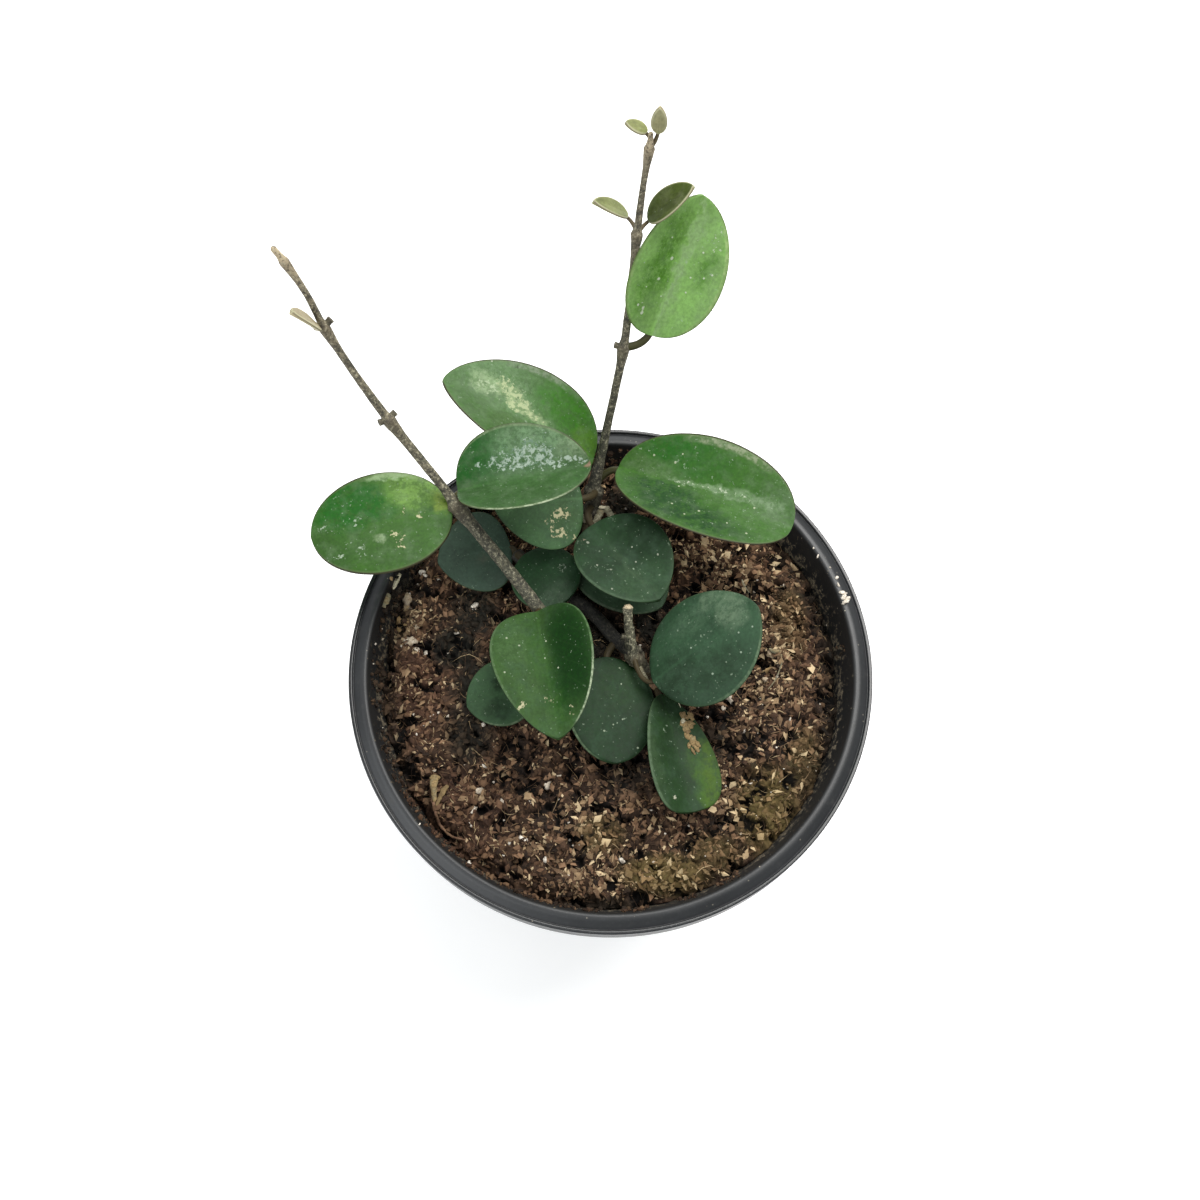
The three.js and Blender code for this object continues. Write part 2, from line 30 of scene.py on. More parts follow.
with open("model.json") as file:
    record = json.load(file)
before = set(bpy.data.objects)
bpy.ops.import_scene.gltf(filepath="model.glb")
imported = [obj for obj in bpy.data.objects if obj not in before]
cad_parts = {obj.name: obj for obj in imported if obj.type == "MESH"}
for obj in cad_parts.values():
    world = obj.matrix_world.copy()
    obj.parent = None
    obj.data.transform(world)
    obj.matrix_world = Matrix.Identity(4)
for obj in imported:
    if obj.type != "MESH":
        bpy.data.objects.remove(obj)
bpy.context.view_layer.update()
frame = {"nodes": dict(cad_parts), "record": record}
mm = 0.001
slots = [material["slot"] for material in frame["record"]["materials"]]
print("frame loaded:", len(frame["nodes"]), "nodes,", len(slots), "finishes")


# numbers and noise

def eased(x, low, high):  # 0 below low, 1 above high, with soft ends between
    t = np.clip((x - low) / (high - low), 0, 1)
    return t * t * (3 - 2 * t)


def hashed(cells, seed):  # a random number from 0 to 1 for each row of whole numbers
    primes = np.array([73856093, 19349663, 83492791])[: cells.shape[-1]]
    h = cells @ primes + seed * 668265263
    h = (h ^ (h >> 13)) * 1274126177
    h = (h ^ (h >> 15)) * 97583761
    return ((h >> 7) & 0xFFFFF) / 0xFFFFF


def valueNoise(points, seed):  # random numbers at whole-number corners, eased between them, -1 to 1
    cells = np.floor(points).astype(np.int64)
    part = points - cells
    part = part * part * (3 - 2 * part)
    total = np.zeros(points.shape[:-1])
    for corner in np.ndindex(*(2,) * points.shape[-1]):
        weight = np.prod(np.where(corner, part, 1 - part), axis=-1)
        total += hashed(cells + np.array(corner), seed) * weight
    return total * 2 - 1


def layered(points, seed, octaves=3):  # value noise in layers, each half as big and half as strong
    total = np.zeros(points.shape[:-1])
    for k in range(octaves):
        total += valueNoise(points * 2**k, seed + k) / 2**k
    return total / (2 - 2.0 ** (1 - octaves))


def lumps(x, y, size, seed):  # one random point in each square: how near it is, and its own number
    here = np.stack([x, y], -1) / size
    cells = np.floor(here).astype(np.int64)
    nearest = np.full(x.shape, 9.0)
    number = np.zeros(x.shape)
    for shift in np.ndindex(3, 3):
        cell = cells + np.array(shift) - 1
        spot = cell + np.stack([hashed(cell, seed), hashed(cell, seed + 1)], -1)
        distance = np.linalg.norm(here - spot, axis=-1)
        closer = distance < nearest
        nearest = np.where(closer, distance, nearest)
        number = np.where(closer, hashed(cell, seed + 2), number)
    return 1 - np.clip(nearest, 0, 1) ** 2, number


def unit(v):  # each vector at length 1
    return v / np.linalg.norm(v, axis=-1, keepdims=True)


# meshes

def gridFaces(rows, columns):  # quads of rings of points, each ring closed on itself
    i, j = np.meshgrid(np.arange(rows - 1), np.arange(columns), indexing="ij")
    n = (j + 1) % columns
    quads = np.stack([i * columns + j, i * columns + n, (i + 1) * columns + n, (i + 1) * columns + j], -1)
    return quads.reshape(-1, 4)


def closedShell(rings, start, end):  # rings of points, closed by one point before and one after them
    rows, columns = rings.shape[:2]
    points = np.concatenate([rings.reshape(-1, 3), [start, end]])
    j = np.arange(columns)
    n = (j + 1) % columns
    last = (rows - 1) * columns
    first = np.stack([np.full(columns, rows * columns), n, j], -1)
    final = np.stack([last + j, last + n, np.full(columns, rows * columns + 1)], -1)
    return points, [gridFaces(rows, columns), first, final]


def joined(shells):  # several shells as one list of points and faces
    points, faces, count = [], [], 0
    for shellPoints, shellFaces in shells:
        points.append(shellPoints)
        faces += [face + count for face in shellFaces]
        count += len(shellPoints)
    return np.concatenate(points), faces


def gathered(parts, keys):  # shells with their own values: all points, all faces, and each value's list
    points, faces = joined([part[0] for part in parts])
    values = {key: np.concatenate([part[k + 1] for part in parts]) for k, key in enumerate(keys)}
    return points, faces, values


def makePiece(name, points, faces, material, node=None, values=None):
    # a mesh of points in millimetres, with a list of numbers or vectors for each of its attributes
    mesh = bpy.data.meshes.new(name)
    polygons = [polygon for group in faces for polygon in group.tolist()]
    mesh.from_pydata(points * mm, [], polygons)
    mesh.polygons.foreach_set("use_smooth", np.ones(len(polygons), bool))
    for key, numbers in (values or {}).items():
        kind = "FLOAT" if numbers.ndim == 1 else "FLOAT_VECTOR"
        attribute = mesh.attributes.new(key, kind, "POINT")
        attribute.data.foreach_set("value" if numbers.ndim == 1 else "vector", numbers.ravel())
    mesh.update()
    piece = bpy.data.objects.new(name, mesh)
    bpy.context.scene.collection.objects.link(piece)
    piece.data.materials.append(material)
    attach(piece, "root")
    if node:
        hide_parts(node)
    return piece


# shader maths

def colour(red, green, blue):  # screen values from 0 to 255, as the light values that shaders take
    c = np.array([red, green, blue]) / 255
    linear = np.where(c <= 0.04045, c / 12.92, ((c + 0.055) / 1.055) ** 2.4)
    return (*linear.tolist(), 1.0)


class Wire:  # a socket's output, so that masks add and multiply as numbers do
    def __init__(self, tree, socket=None):
        self.tree = tree
        self.socket = socket

    def node(self, kind, settings, sockets, output=0):
        made = self.tree.nodes.new(kind)
        for key, value in settings.items():
            if key == "stops":
                ramp = made.color_ramp
                while len(ramp.elements) < len(value):
                    ramp.elements.new(0.5)
                for element, (position, tone) in zip(ramp.elements, value):
                    element.position = position
                    element.color = tone
            else:
                setattr(made, key, value)
        for key, value in sockets.items():
            if isinstance(value, Wire):
                self.tree.links.new(value.socket, made.inputs[key])
            else:
                made.inputs[key].default_value = value
        return Wire(self.tree, made.outputs[output])

    def math(self, operation, a, b=0.0):
        return self.node("ShaderNodeMath", {"operation": operation}, {0: a, 1: b})

    def __add__(self, other):
        return self.math("ADD", self, other)

    def __sub__(self, other):
        return self.math("SUBTRACT", self, other)

    def __rsub__(self, other):
        return self.math("SUBTRACT", other, self)

    def __mul__(self, other):
        return self.math("MULTIPLY", self, other)

    def __truediv__(self, other):
        return self.math("DIVIDE", self, other)

    def __pow__(self, other):
        return self.math("POWER", self, other)

    def __abs__(self):
        return self.math("ABSOLUTE", self)

    __radd__ = __add__
    __rmul__ = __mul__

    def larger(self, other):
        return self.math("MAXIMUM", self, other)

    def smaller(self, other):
        return self.math("MINIMUM", self, other)

    def above(self, low, high):  # a mask: 0 below low, 1 above high
        settings = {"interpolation_type": "SMOOTHSTEP"}
        return self.node("ShaderNodeMapRange", settings, {"Value": self, "From Min": low, "From Max": high})

    def blend(self, under, over):  # over lies on under where this mask is 1
        return self.node("ShaderNodeMix", {"data_type": "RGBA"}, {0: self, 6: under, 7: over}, 2)

    def lit(self, amount):  # a colour made lighter or darker by a mask
        return self.node("ShaderNodeVectorMath", {"operation": "SCALE"}, {0: self, "Scale": amount})

    single = ("tint", "deep", "climb", "knot", "damp")  # the others hold vectors

    def attribute(self, name):
        output = 2 if name in self.single else 1
        return self.node("ShaderNodeAttribute", {"attribute_name": name}, {}, output)

    def parts(self):
        split = self.node("ShaderNodeSeparateXYZ", {}, {0: self}).socket.node
        return [Wire(self.tree, split.outputs[k]) for k in range(3)]

    def vector(self, x, y, z):
        return self.node("ShaderNodeCombineXYZ", {}, {0: x, 1: y, 2: z})

    def moved(self, x, y, z):
        return self.node("ShaderNodeVectorMath", {"operation": "ADD"}, {0: self, 1: (x, y, z)})

    def scaled(self, x, y, z):
        return self.node("ShaderNodeVectorMath", {"operation": "MULTIPLY"}, {0: self, 1: (x, y, z)})

    def noise(self, scale, detail=3.0, roughness=0.55):
        sockets = {"Vector": self, "Scale": scale, "Detail": detail, "Roughness": roughness}
        return self.node("ShaderNodeTexNoise", {}, sockets)

    def cells(self, scale):  # distance to the nearest of random points, and that point's number
        near = self.node("ShaderNodeTexVoronoi", {}, {"Vector": self, "Scale": scale})
        number = Wire(self.tree, near.socket.node.outputs["Color"]).parts()[0]
        return near, number

    def bump(self, strength, distance):
        sockets = {"Height": self, "Strength": strength, "Distance": distance * mm}
        return self.node("ShaderNodeBump", {}, sockets)


def newMaterial(name):  # an empty surface and the wire that starts its tree
    material = bpy.data.materials.new(name)
    material.use_nodes = True
    return material, Wire(material.node_tree)


def finishSurface(material, base, roughness, normal, fixed=None):
    # what varies is wired to the shader, and constants are set on its own sockets
    shader = material.node_tree.nodes["Principled BSDF"]
    for key, value in (("Base Color", base), ("Roughness", roughness), ("Normal", normal)):
        if isinstance(value, Wire):
            material.node_tree.links.new(value.socket, shader.inputs[key])
        elif value is not None:
            shader.inputs[key].default_value = value
    for key, value in (fixed or {}).items():
        shader.inputs[key].default_value = value
    return material


def objectPoint(wire):  # Object coordinates in millimetres
    place = wire.node("ShaderNodeTexCoord", {}, {}, 3)
    return place.scaled(1 / mm, 1 / mm, 1 / mm)


# camera and light

view = {"place": (-2.3, -79.65, 359.1), "tilt": 19, "sensor": 36, "focal": 39}
lamps = {
    "key": {"place": (200, 260, 640), "size": 560, "watts": 6.4, "tone": (1, 0.985, 0.96)},
    "fill": {"place": (-420, -260, 520), "size": 600, "watts": 2.6, "tone": (0.95, 0.98, 1)},
    "back": {"place": (0, 600, 230), "size": 400, "watts": 0.7, "tone": (0.98, 0.99, 1)},
}
sky = {"tone": (0.97, 0.985, 1, 1), "strength": 0.6}


def makeCamera():  # above the front of the pot, tipped up a little from straight down
    data = bpy.data.cameras.new("camera")
    data.sensor_width = view["sensor"]
    data.lens = view["focal"]
    camera = bpy.data.objects.new("camera", data)
    camera.location = [value * mm for value in view["place"]]
    camera.rotation_euler = (math.radians(view["tilt"]), 0, 0)
    bpy.context.scene.collection.objects.link(camera)
    bpy.context.scene.camera = camera
    bpy.context.scene.view_settings.view_transform = "Standard"


def makeLamps():  # round lamps aimed at the plant's middle, and an even sky
    for name, lamp in lamps.items():
        data = bpy.data.lights.new(name, "AREA")
        data.shape = "DISK"
        data.size = lamp["size"] * mm
        data.energy = lamp["watts"]
        data.color = lamp["tone"]
        lampObject = bpy.data.objects.new(name, data)
        place = np.array(lamp["place"]) * mm
        lampObject.location = place
        lampObject.visible_camera = False
        aim = np.array([0, 0, 80 * mm]) - place
        lampObject.rotation_euler = (
            math.atan2(math.hypot(aim[0], aim[1]), -aim[2]), 0, math.atan2(-aim[0], aim[1]))
        bpy.context.scene.collection.objects.link(lampObject)
    world = bpy.data.worlds.new("studio")
    world.use_nodes = True
    background = world.node_tree.nodes["Background"]
    background.inputs[0].default_value = sky["tone"]
    background.inputs[1].default_value = sky["strength"]
    bpy.context.scene.world = world


def makeFloor():  # a pale sheet, larger than the view
    mesh = bpy.data.meshes.new("floor")
    half = 4.0
    corners = [(-half, -half, 0), (half, -half, 0), (half, half, 0), (-half, half, 0)]
    mesh.from_pydata(corners, [], [(0, 1, 2, 3)])
    floor = bpy.data.objects.new("floor", mesh)
    bpy.context.scene.collection.objects.link(floor)
    material, wire = newMaterial("pale floor")
    grain = objectPoint(wire).noise(0.02)
    base = grain.above(0.3, 0.7).blend(colour(246, 246, 245), colour(250, 250, 249))
    glow = {"Emission Color": (1, 1, 1, 1), "Emission Strength": 0.22}  # keeps its shadow light
    floor.data.materials.append(finishSurface(material, base, 0.7, None, glow))


makeCamera()
makeLamps()
makeFloor()
print("camera, lamps and floor made")


# pot

pot = {
    "height": 84, "rimRadius": 57.7, "wall": 1.2, "footRadius": 41, "neckRadius": 51.7, "neckHeight": 74,
    "floor": 1.6, "channelRise": 2.5, "padRadius": 14, "channelInner": 17, "channelOuter": 33,
    "ringInner": 36, "lipBottom": 76, "beadWidth": 0.9, "sides": 256, "cornerSteps": 5,
}
drain = {"count": 8, "diameter": 8, "sides": 40, "from": -3, "to": 9}
wallSlope = (pot["neckRadius"] - pot["footRadius"] + pot["wall"]) / pot["neckHeight"]


def insideRadius(z):  # the wall's inside, a straight taper
    return pot["footRadius"] - pot["wall"] + wallSlope * z


def roundedProfile(corners, steps):
    # corners are radius, height and how far each is rounded off, by a quadratic curve that starts and
    # ends at most just short of the middle of the edges beside it
    spots = np.array(corners, float)
    out = [spots[0, :2]]
    for before, here, after in zip(spots[:-2], spots[1:-1], spots[2:]):
        back, ahead = before[:2] - here[:2], after[:2] - here[:2]
        cut = min(here[2], 0.48 * np.linalg.norm(back), 0.48 * np.linalg.norm(ahead))
        a = here[:2] + unit(back) * cut
        b = here[:2] + unit(ahead) * cut
        t = np.linspace(0, 1, steps)[:, None]
        out.extend((1 - t) ** 2 * a + 2 * t * (1 - t) * here[:2] + t * t * b)
    out.append(spots[-1, :2])
    return np.array(out)


def potProfile():  # from the middle of the underside, out and up to the rim, and down the inside again
    height, rim, wall, floor = pot["height"], pot["rimRadius"], pot["wall"], pot["floor"]
    rise, lip = pot["channelRise"], pot["lipBottom"]
    groove = rim - pot["beadWidth"]
    under = height - wall - 0.4
    inside = insideRadius(height)
    thick, soft = 0.8, 0.6  # how far the underside's steps lie outside the floor's, and their rounding
    corners = [
        (0, 0, 0), (pot["padRadius"] + thick, 0, soft), (pot["channelInner"] + thick, rise, soft),
        (pot["channelOuter"] - thick, rise, soft), (pot["ringInner"] - thick, 0, soft),
        (pot["footRadius"], 0, 1.3), (insideRadius(under) + wall, under, 0.7),
        (rim - wall, under, soft), (rim - wall - 0.1, lip, 0.3), (rim, lip, 0.5),
        (rim, height - 0.6, 0.28), (groove + 0.1, height - 0.6, 0.2), (groove - 0.05, height - 1.2, 0.2),
        (inside + 1.5, height, 1.2), (inside + 0.2, height, soft), (inside - 0.15, height - 1.6, 1.2),
        (insideRadius(floor) - 0.2, floor, 0.8), (pot["ringInner"], floor, soft),
        (pot["channelOuter"], floor + rise, soft), (pot["channelInner"], floor + rise, soft),
        (pot["padRadius"], floor, soft), (0, floor, 0),
    ]
    return roundedProfile(corners, pot["cornerSteps"])


def potMaterial():
    # satin grey on the rim, and inside it painted nearly black as shade, where soil has dried on, thickest
    # low down
    material, wire = newMaterial("charcoal plastic")
    point = objectPoint(wire)
    x, y, z = point.parts()
    radius = (x * x + y * y) ** 0.5
    depth = radius - z * wallSlope - insideRadius(0)  # 0 on the wall's inside, 1.2 on its outside
    within = (1 - depth.above(0.3, 0.8)) * z.above(4, 8)
    bead = radius.above(56.7, 57.1) * z.above(82, 82.6)
    cloudy = point.noise(0.06, 4)
    fine = point.noise(1.6, 3)
    dust = point.scaled(1, 1, 0.4).noise(0.35, 6, 0.7)
    base = cloudy.above(0.3, 0.7).blend(colour(20, 22, 24), colour(28, 30, 32))
    base = (fine.above(0.5, 0.75) * 0.15).blend(base, colour(58, 60, 62))
    dusty = dust.above(0.55, 0.8) * 0.3
    base = (dusty * 0.6).blend(base, colour(92, 90, 84))
    # painted shade: the wall's inside is darker than its outside
    base = (within * 0.95).blend(base, colour(15, 16, 16))
    stuck = point.scaled(1, 1, 0.7).noise(0.8, 6, 0.7)
    smear = (stuck + (1 - z.above(74.5, 82.5)) * 0.13).above(0.63, 0.68) * within
    grit = point.moved(3, 1, 2).noise(3.0, 4, 0.7)
    crust = grit.above(0.35, 0.65).blend(colour(62, 52, 42), colour(142, 130, 106))
    base = (smear * 0.8).blend(base, crust)
    specks, number = point.cells(0.8)
    dots = (1 - specks.above(0.08, 0.16)) * number.above(0.86, 0.88)
    base = (dots * (0.35 + within * 0.5)).blend(base, colour(168, 160, 142))
    roughness = 0.4 + cloudy * 0.06 - bead * 0.18 + dusty * 0.4 + within * 0.2 + smear * 0.3
    normal = (fine * 0.2 + dust * 0.3 + smear * grit * 1.6).bump(0.3, 0.2)
    return finishSurface(material, base, roughness, normal)


def makePot():  # the profile turned about the upright axis, then pierced by a ring of drain holes
    profile = potProfile()
    turn = np.linspace(0, 2 * np.pi, pot["sides"], endpoint=False)
    ring = profile[1:-1]
    rings = np.stack([
        ring[:, :1] * np.cos(turn), ring[:, :1] * np.sin(turn), np.repeat(ring[:, 1:], len(turn), 1)], -1)
    points, faces = closedShell(rings, [0, 0, profile[0, 1]], [0, 0, profile[-1, 1]])
    piece = makePiece("nursery_pot", points, faces, potMaterial(), "pot")
    middle = (pot["channelInner"] + pot["channelOuter"]) / 2
    cutters = []
    for k in range(drain["count"]):
        angle = 2 * np.pi * k / drain["count"]
        around = np.linspace(0, 2 * np.pi, drain["sides"], endpoint=False)
        circle = np.stack([
            middle * np.cos(angle) + drain["diameter"] / 2 * np.cos(around),
            middle * np.sin(angle) + drain["diameter"] / 2 * np.sin(around), 0 * around], -1)
        walls = np.stack([circle + [0, 0, drain["from"]], circle + [0, 0, drain["to"]]])
        cutters.append(closedShell(walls, walls[0].mean(0), walls[1].mean(0)))
    points, faces = joined(cutters)
    mesh = bpy.data.meshes.new("drain cutters")
    mesh.from_pydata(points * mm, [], [polygon for group in faces for polygon in group.tolist()])
    cutter = bpy.data.objects.new("drain cutters", mesh)
    bpy.context.scene.collection.objects.link(cutter)
    cut = piece.modifiers.new("drain holes", "BOOLEAN")
    cut.operation = "DIFFERENCE"
    cut.solver = "EXACT"
    cut.object = cutter
    bpy.context.view_layer.update()
    pierced = bpy.data.meshes.new_from_object(piece.evaluated_get(bpy.context.evaluated_depsgraph_get()))
    piece.modifiers.clear()
    piece.data = pierced
    bpy.data.objects.remove(cutter)
    piece.data.polygons.foreach_set("use_smooth", np.ones(len(piece.data.polygons), bool))
    piece.data.set_sharp_from_angle(angle=math.radians(50))
    print("pot made:", len(piece.data.polygons), "faces")


makePot()


# paths and tubes

def splineThrough(points, spacing):
    # a centripetal Catmull-Rom curve, then evenly spaced points on it, how far along each one is, and
    # its place among the given points
    p = np.array(points, float)[:, :3]
    count = len(p)
    p = np.concatenate([[2 * p[0] - p[1]], p, [2 * p[-1] - p[-2]]])
    gap = np.linalg.norm(np.diff(p, axis=0), axis=1)[:, None] ** 0.5
    a, b, c, d = p[:-3], p[1:-2], p[2:-1], p[3:]
    g0, g1, g2 = gap[:-2], gap[1:-1], gap[2:]
    leave = ((b - a) / g0 - (c - a) / (g0 + g1) + (c - b) / g1) * g1
    arrive = ((c - b) / g1 - (d - b) / (g1 + g2) + (d - c) / g2) * g1
    t = np.linspace(0, 1, 40, endpoint=False)[None, :, None]
    curve = (2 * t**3 - 3 * t**2 + 1) * b[:, None] + (t**3 - 2 * t**2 + t) * leave[:, None]
    curve = curve + (3 * t**2 - 2 * t**3) * c[:, None] + (t**3 - t**2) * arrive[:, None]
    dense = np.concatenate([curve.reshape(-1, 3), p[-2:-1]])
    place = np.append((np.arange(count - 1)[:, None] + t[0, :, 0]).ravel(), count - 1)
    path, at = evenly(np.column_stack([dense, place]), spacing)
    return path[:, :3], at, path[:, 3]


def evenly(path, spacing):  # the same path with points at equal steps along it
    run = np.concatenate([[0], np.cumsum(np.linalg.norm(np.diff(path[:, :3], axis=0), axis=1))])
    count = max(3, int(run[-1] / spacing) + 1)
    at = np.linspace(0, run[-1], count)
    return np.stack([np.interp(at, run, path[:, k]) for k in range(path.shape[1])], -1), at


def sideways(path, reference=(1, 0, 0)):  # two directions square to the path at each point
    tangent = unit(np.gradient(path, axis=0))
    first = unit(np.cross(np.broadcast_to(np.array(reference, float), tangent.shape), tangent))
    return first, np.cross(tangent, first)


def tubeRings(path, radius, sides, reference=(1, 0, 0)):
    # circles round a path, with one radius for each point of it, or one for each point and side
    first, second = sideways(path, reference)
    turn = np.linspace(0, 2 * np.pi, sides, endpoint=False)
    reach = np.broadcast_to(np.reshape(radius, (len(path), -1)), (len(path), sides))[..., None]
    circle = first[:, None] * np.cos(turn)[None, :, None] + second[:, None] * np.sin(turn)[None, :, None]
    return path[:, None] + reach * circle


def tubeNoise(at, sides, around, along, seed, octaves=3):  # noise on a tube: its scale around and along
    turn = np.linspace(0, 2 * np.pi, sides, endpoint=False)[None, :]
    places = np.broadcast_arrays(around * np.cos(turn), around * np.sin(turn), at[:, None] * along)
    return layered(np.stack(places, -1), seed, octaves)


# stems

stems = {  # points along each stem, with the stem's radius there
    "stem_right": {
        "points": [
            (-4.8, 35.5, 62, 1.75), (-4.2, 37.9, 75, 1.75), (-3.7, 42.6, 83, 1.6), (-2.1, 47.6, 90, 1.15),
            (-0.3, 53, 98, 0.95), (2.8, 62.5, 113, 0.95), (4.1, 69.2, 125, 0.85), (5.1, 74.3, 137, 0.85),
            (6.1, 78, 148, 0.65), (7, 80.6, 155, 0.75), (7.2, 81.2, 159, 0.5)],
        "knots": [(-4, 40, 78.5), (-3.7, 42.6, 83), (2.8, 62.5, 113), (5.1, 74.3, 137), (7, 80.6, 155)],
        "scars": [((2.8, 62.5, 113), (-1, 0.1, 0.25))], "seed": 3,
    },
    "stem_left": {
        "points": [
            (-9.5, 7, 62, 1.8), (-10.4, 7.4, 75, 1.8), (-12, 8.6, 82.5, 1.65), (-15.5, 11.6, 87.2, 1.5),
            (-22.9, 19.7, 93.5, 1.4), (-33.3, 30.3, 103, 1.35), (-35.2, 32.4, 105.6, 1.05),
            (-45.8, 42.3, 119, 1.0), (-51.1, 47.2, 129, 0.83), (-55.6, 51.9, 139, 0.83),
            (-58, 55.5, 145, 0.7), (-61.2, 58.7, 151, 0.7), (-62.7, 59.7, 154, 0.65)],
        "knots": [(-14.6, 10.8, 86.4), (-33.3, 30.3, 103), (-45.8, 42.3, 119), (-55.6, 51.9, 139),
                  (-61.2, 58.7, 151)],
        "scars": [((-45.8, 42.3, 119), (-0.9, -0.5, 0.1)), ((-45.8, 42.3, 119), (0.7, 0.7, 0.1)),
                  ((-55.6, 51.9, 139), (0.7, 0.6, 0.4))], "seed": 5,
    },
    "stem_centre": {
        "points": [
            (7.6, -2.4, 62, 1.9), (7, 0.2, 76, 1.9), (5.8, 2, 80.5, 1.7), (4.8, 3.4, 84, 1.25),
            (4, 7, 88.5, 1.05), (3.8, 11, 92.5, 1.05)],
        "knots": [(6.6, 0.8, 77.5), (5, 3, 83.3)],
        "scars": [((5, 3, 83.3), (0.9, 0.3, 0.3)), ((4.3, 5.2, 86.4), (-0.9, 0.2, 0.3))],
        # below 0, its painted shade makes this stub lighter, and its cut top only a little lighter
        "seed": 7, "rough": 4.4, "cut": True, "damp": -2.2,
    },
    "low_branch": {
        "points": [
            (4.8, 3.2, 83.2, 1.5), (1.8, 6.2, 81.2, 1.5), (-4.6, 14.2, 79.3, 1.5), (-14.9, 21.9, 79.3, 1.3),
            (-22, 28, 79.6, 1.1)],
        "knots": [(-21.6, 27.6, 79.6)],
        # its painted shade darkens this branch, which lies in the leaves' shadow
        "scars": [], "seed": 11, "rough": 1.6, "damp": 1.7,
    },
}
stemNodes = {
    "stem_right": ["stem_right"], "stem_left": ["stem_left"], "stem_centre": ["stem_centre", "low_branch"],
}
bark = {
    "sides": 28, "step": 0.4, "bulge": 0.5, "below": 3.2, "above": 0.7, "inset": 0.05, "cutPaintedShade": -0.2,
    "grain": 0.1, "grainScale": (1.6, 0.45), "furrow": 0.07, "furrowScale": (4.2, 0.35),
    "ringRise": 0.13, "rings": [(1.0, 0.3, 1.0), (-0.2, 0.25, 0.6)],  # above the knot, width, strength
    "scarLength": 2.1, "scarRoot": 0.85, "scarEnd": 0.6, "scarLip": 0.12, "scarDish": 0.3, "scarSides": 18,
}
overhead = []  # points of what hangs above the soil, so that the soil stays under it


def stemShell(stem):
    # each point's radius, times a flare that grows slowly up to each knot and ends sharply above it,
    # plus bark: noise stretched along the stem, fine furrows, and a low ring above each knot
    path, at, place = splineThrough(stem["points"], bark["step"])
    share = at / at[-1]
    plain = np.interp(place, np.arange(len(stem["points"])), [point[3] for point in stem["points"]])
    flare = np.ones(len(path))
    knot = np.zeros(len(path))
    ring = np.zeros(len(path))
    for spot in stem["knots"]:
        gap = at - at[np.argmin(np.linalg.norm(path - np.array(spot), axis=1))]
        near = np.exp(-((gap / np.where(gap < 0, bark["below"], bark["above"])) ** 2))
        flare += bark["bulge"] * near
        knot = np.maximum(knot, near)
        for rise, width, strength in bark["rings"]:
            ring += strength * np.exp(-(((gap - rise) / width) ** 2))
    radius = plain * flare
    rough = tubeNoise(at, bark["sides"], *bark["grainScale"], stem["seed"])
    furrows = tubeNoise(at, bark["sides"], *bark["furrowScale"], stem["seed"] + 9, 2)
    grain = bark["grain"] * stem.get("rough", 1)
    relief = grain * rough * (0.6 + 0.9 * knot[:, None]) * plain[:, None]
    relief = relief + bark["furrow"] * stem.get("rough", 1) * furrows * plain[:, None]
    relief = relief + bark["ringRise"] * ring[:, None] * (0.6 + 0.6 * rough)
    blunt = np.minimum(1, (at[-1] - at + 0.12) / 0.5) ** 0.5
    rings = tubeRings(path, (radius[:, None] + relief - bark["inset"]) * blunt[:, None], bark["sides"])
    shell = closedShell(rings, path[0], path[-1] + 0.05 * unit(path[-1] - path[-2]))
    if "damp" in stem:  # old wood all along, and pale only where it is cut
        share = np.where((share > 0.98) & stem.get("cut", False), 1, share * 0.3)
    climb = np.concatenate([np.repeat(share, bark["sides"]), [0, share[-1]]])
    knots = np.concatenate([np.repeat(knot, bark["sides"]), [0, 0]])
    damp = np.full(len(climb), stem.get("damp", 0.0))  # painted shade above 0, darker; below 0, lighter
    if stem.get("cut"):
        damp = np.where(climb > 0.9, bark["cutPaintedShade"], damp)
    return shell, climb, knots, damp


def scarShell(at, towards, seed):  # a short stub with a dished end, where a leaf fell off
    direction = unit(np.array(towards, float))
    length = bark["scarLength"]
    reach = np.linspace(0, length, 9)
    path = np.array(at, float) + reach[:, None] * direction
    radius = bark["scarRoot"] + (bark["scarEnd"] - bark["scarRoot"]) * reach / length
    radius = radius + bark["scarLip"] * eased(reach, length - 0.8, length)
    wave = tubeNoise(reach, bark["scarSides"], 1.5, 1, seed)
    rings = tubeRings(path, radius[:, None] + 0.1 * wave, bark["scarSides"], (0.2, 0.1, 1))
    shell = closedShell(rings, path[0], path[-1] - bark["scarDish"] * direction)
    count = len(shell[0])
    return shell, np.full(count, 0.3), np.full(count, 0.8), np.zeros(count)


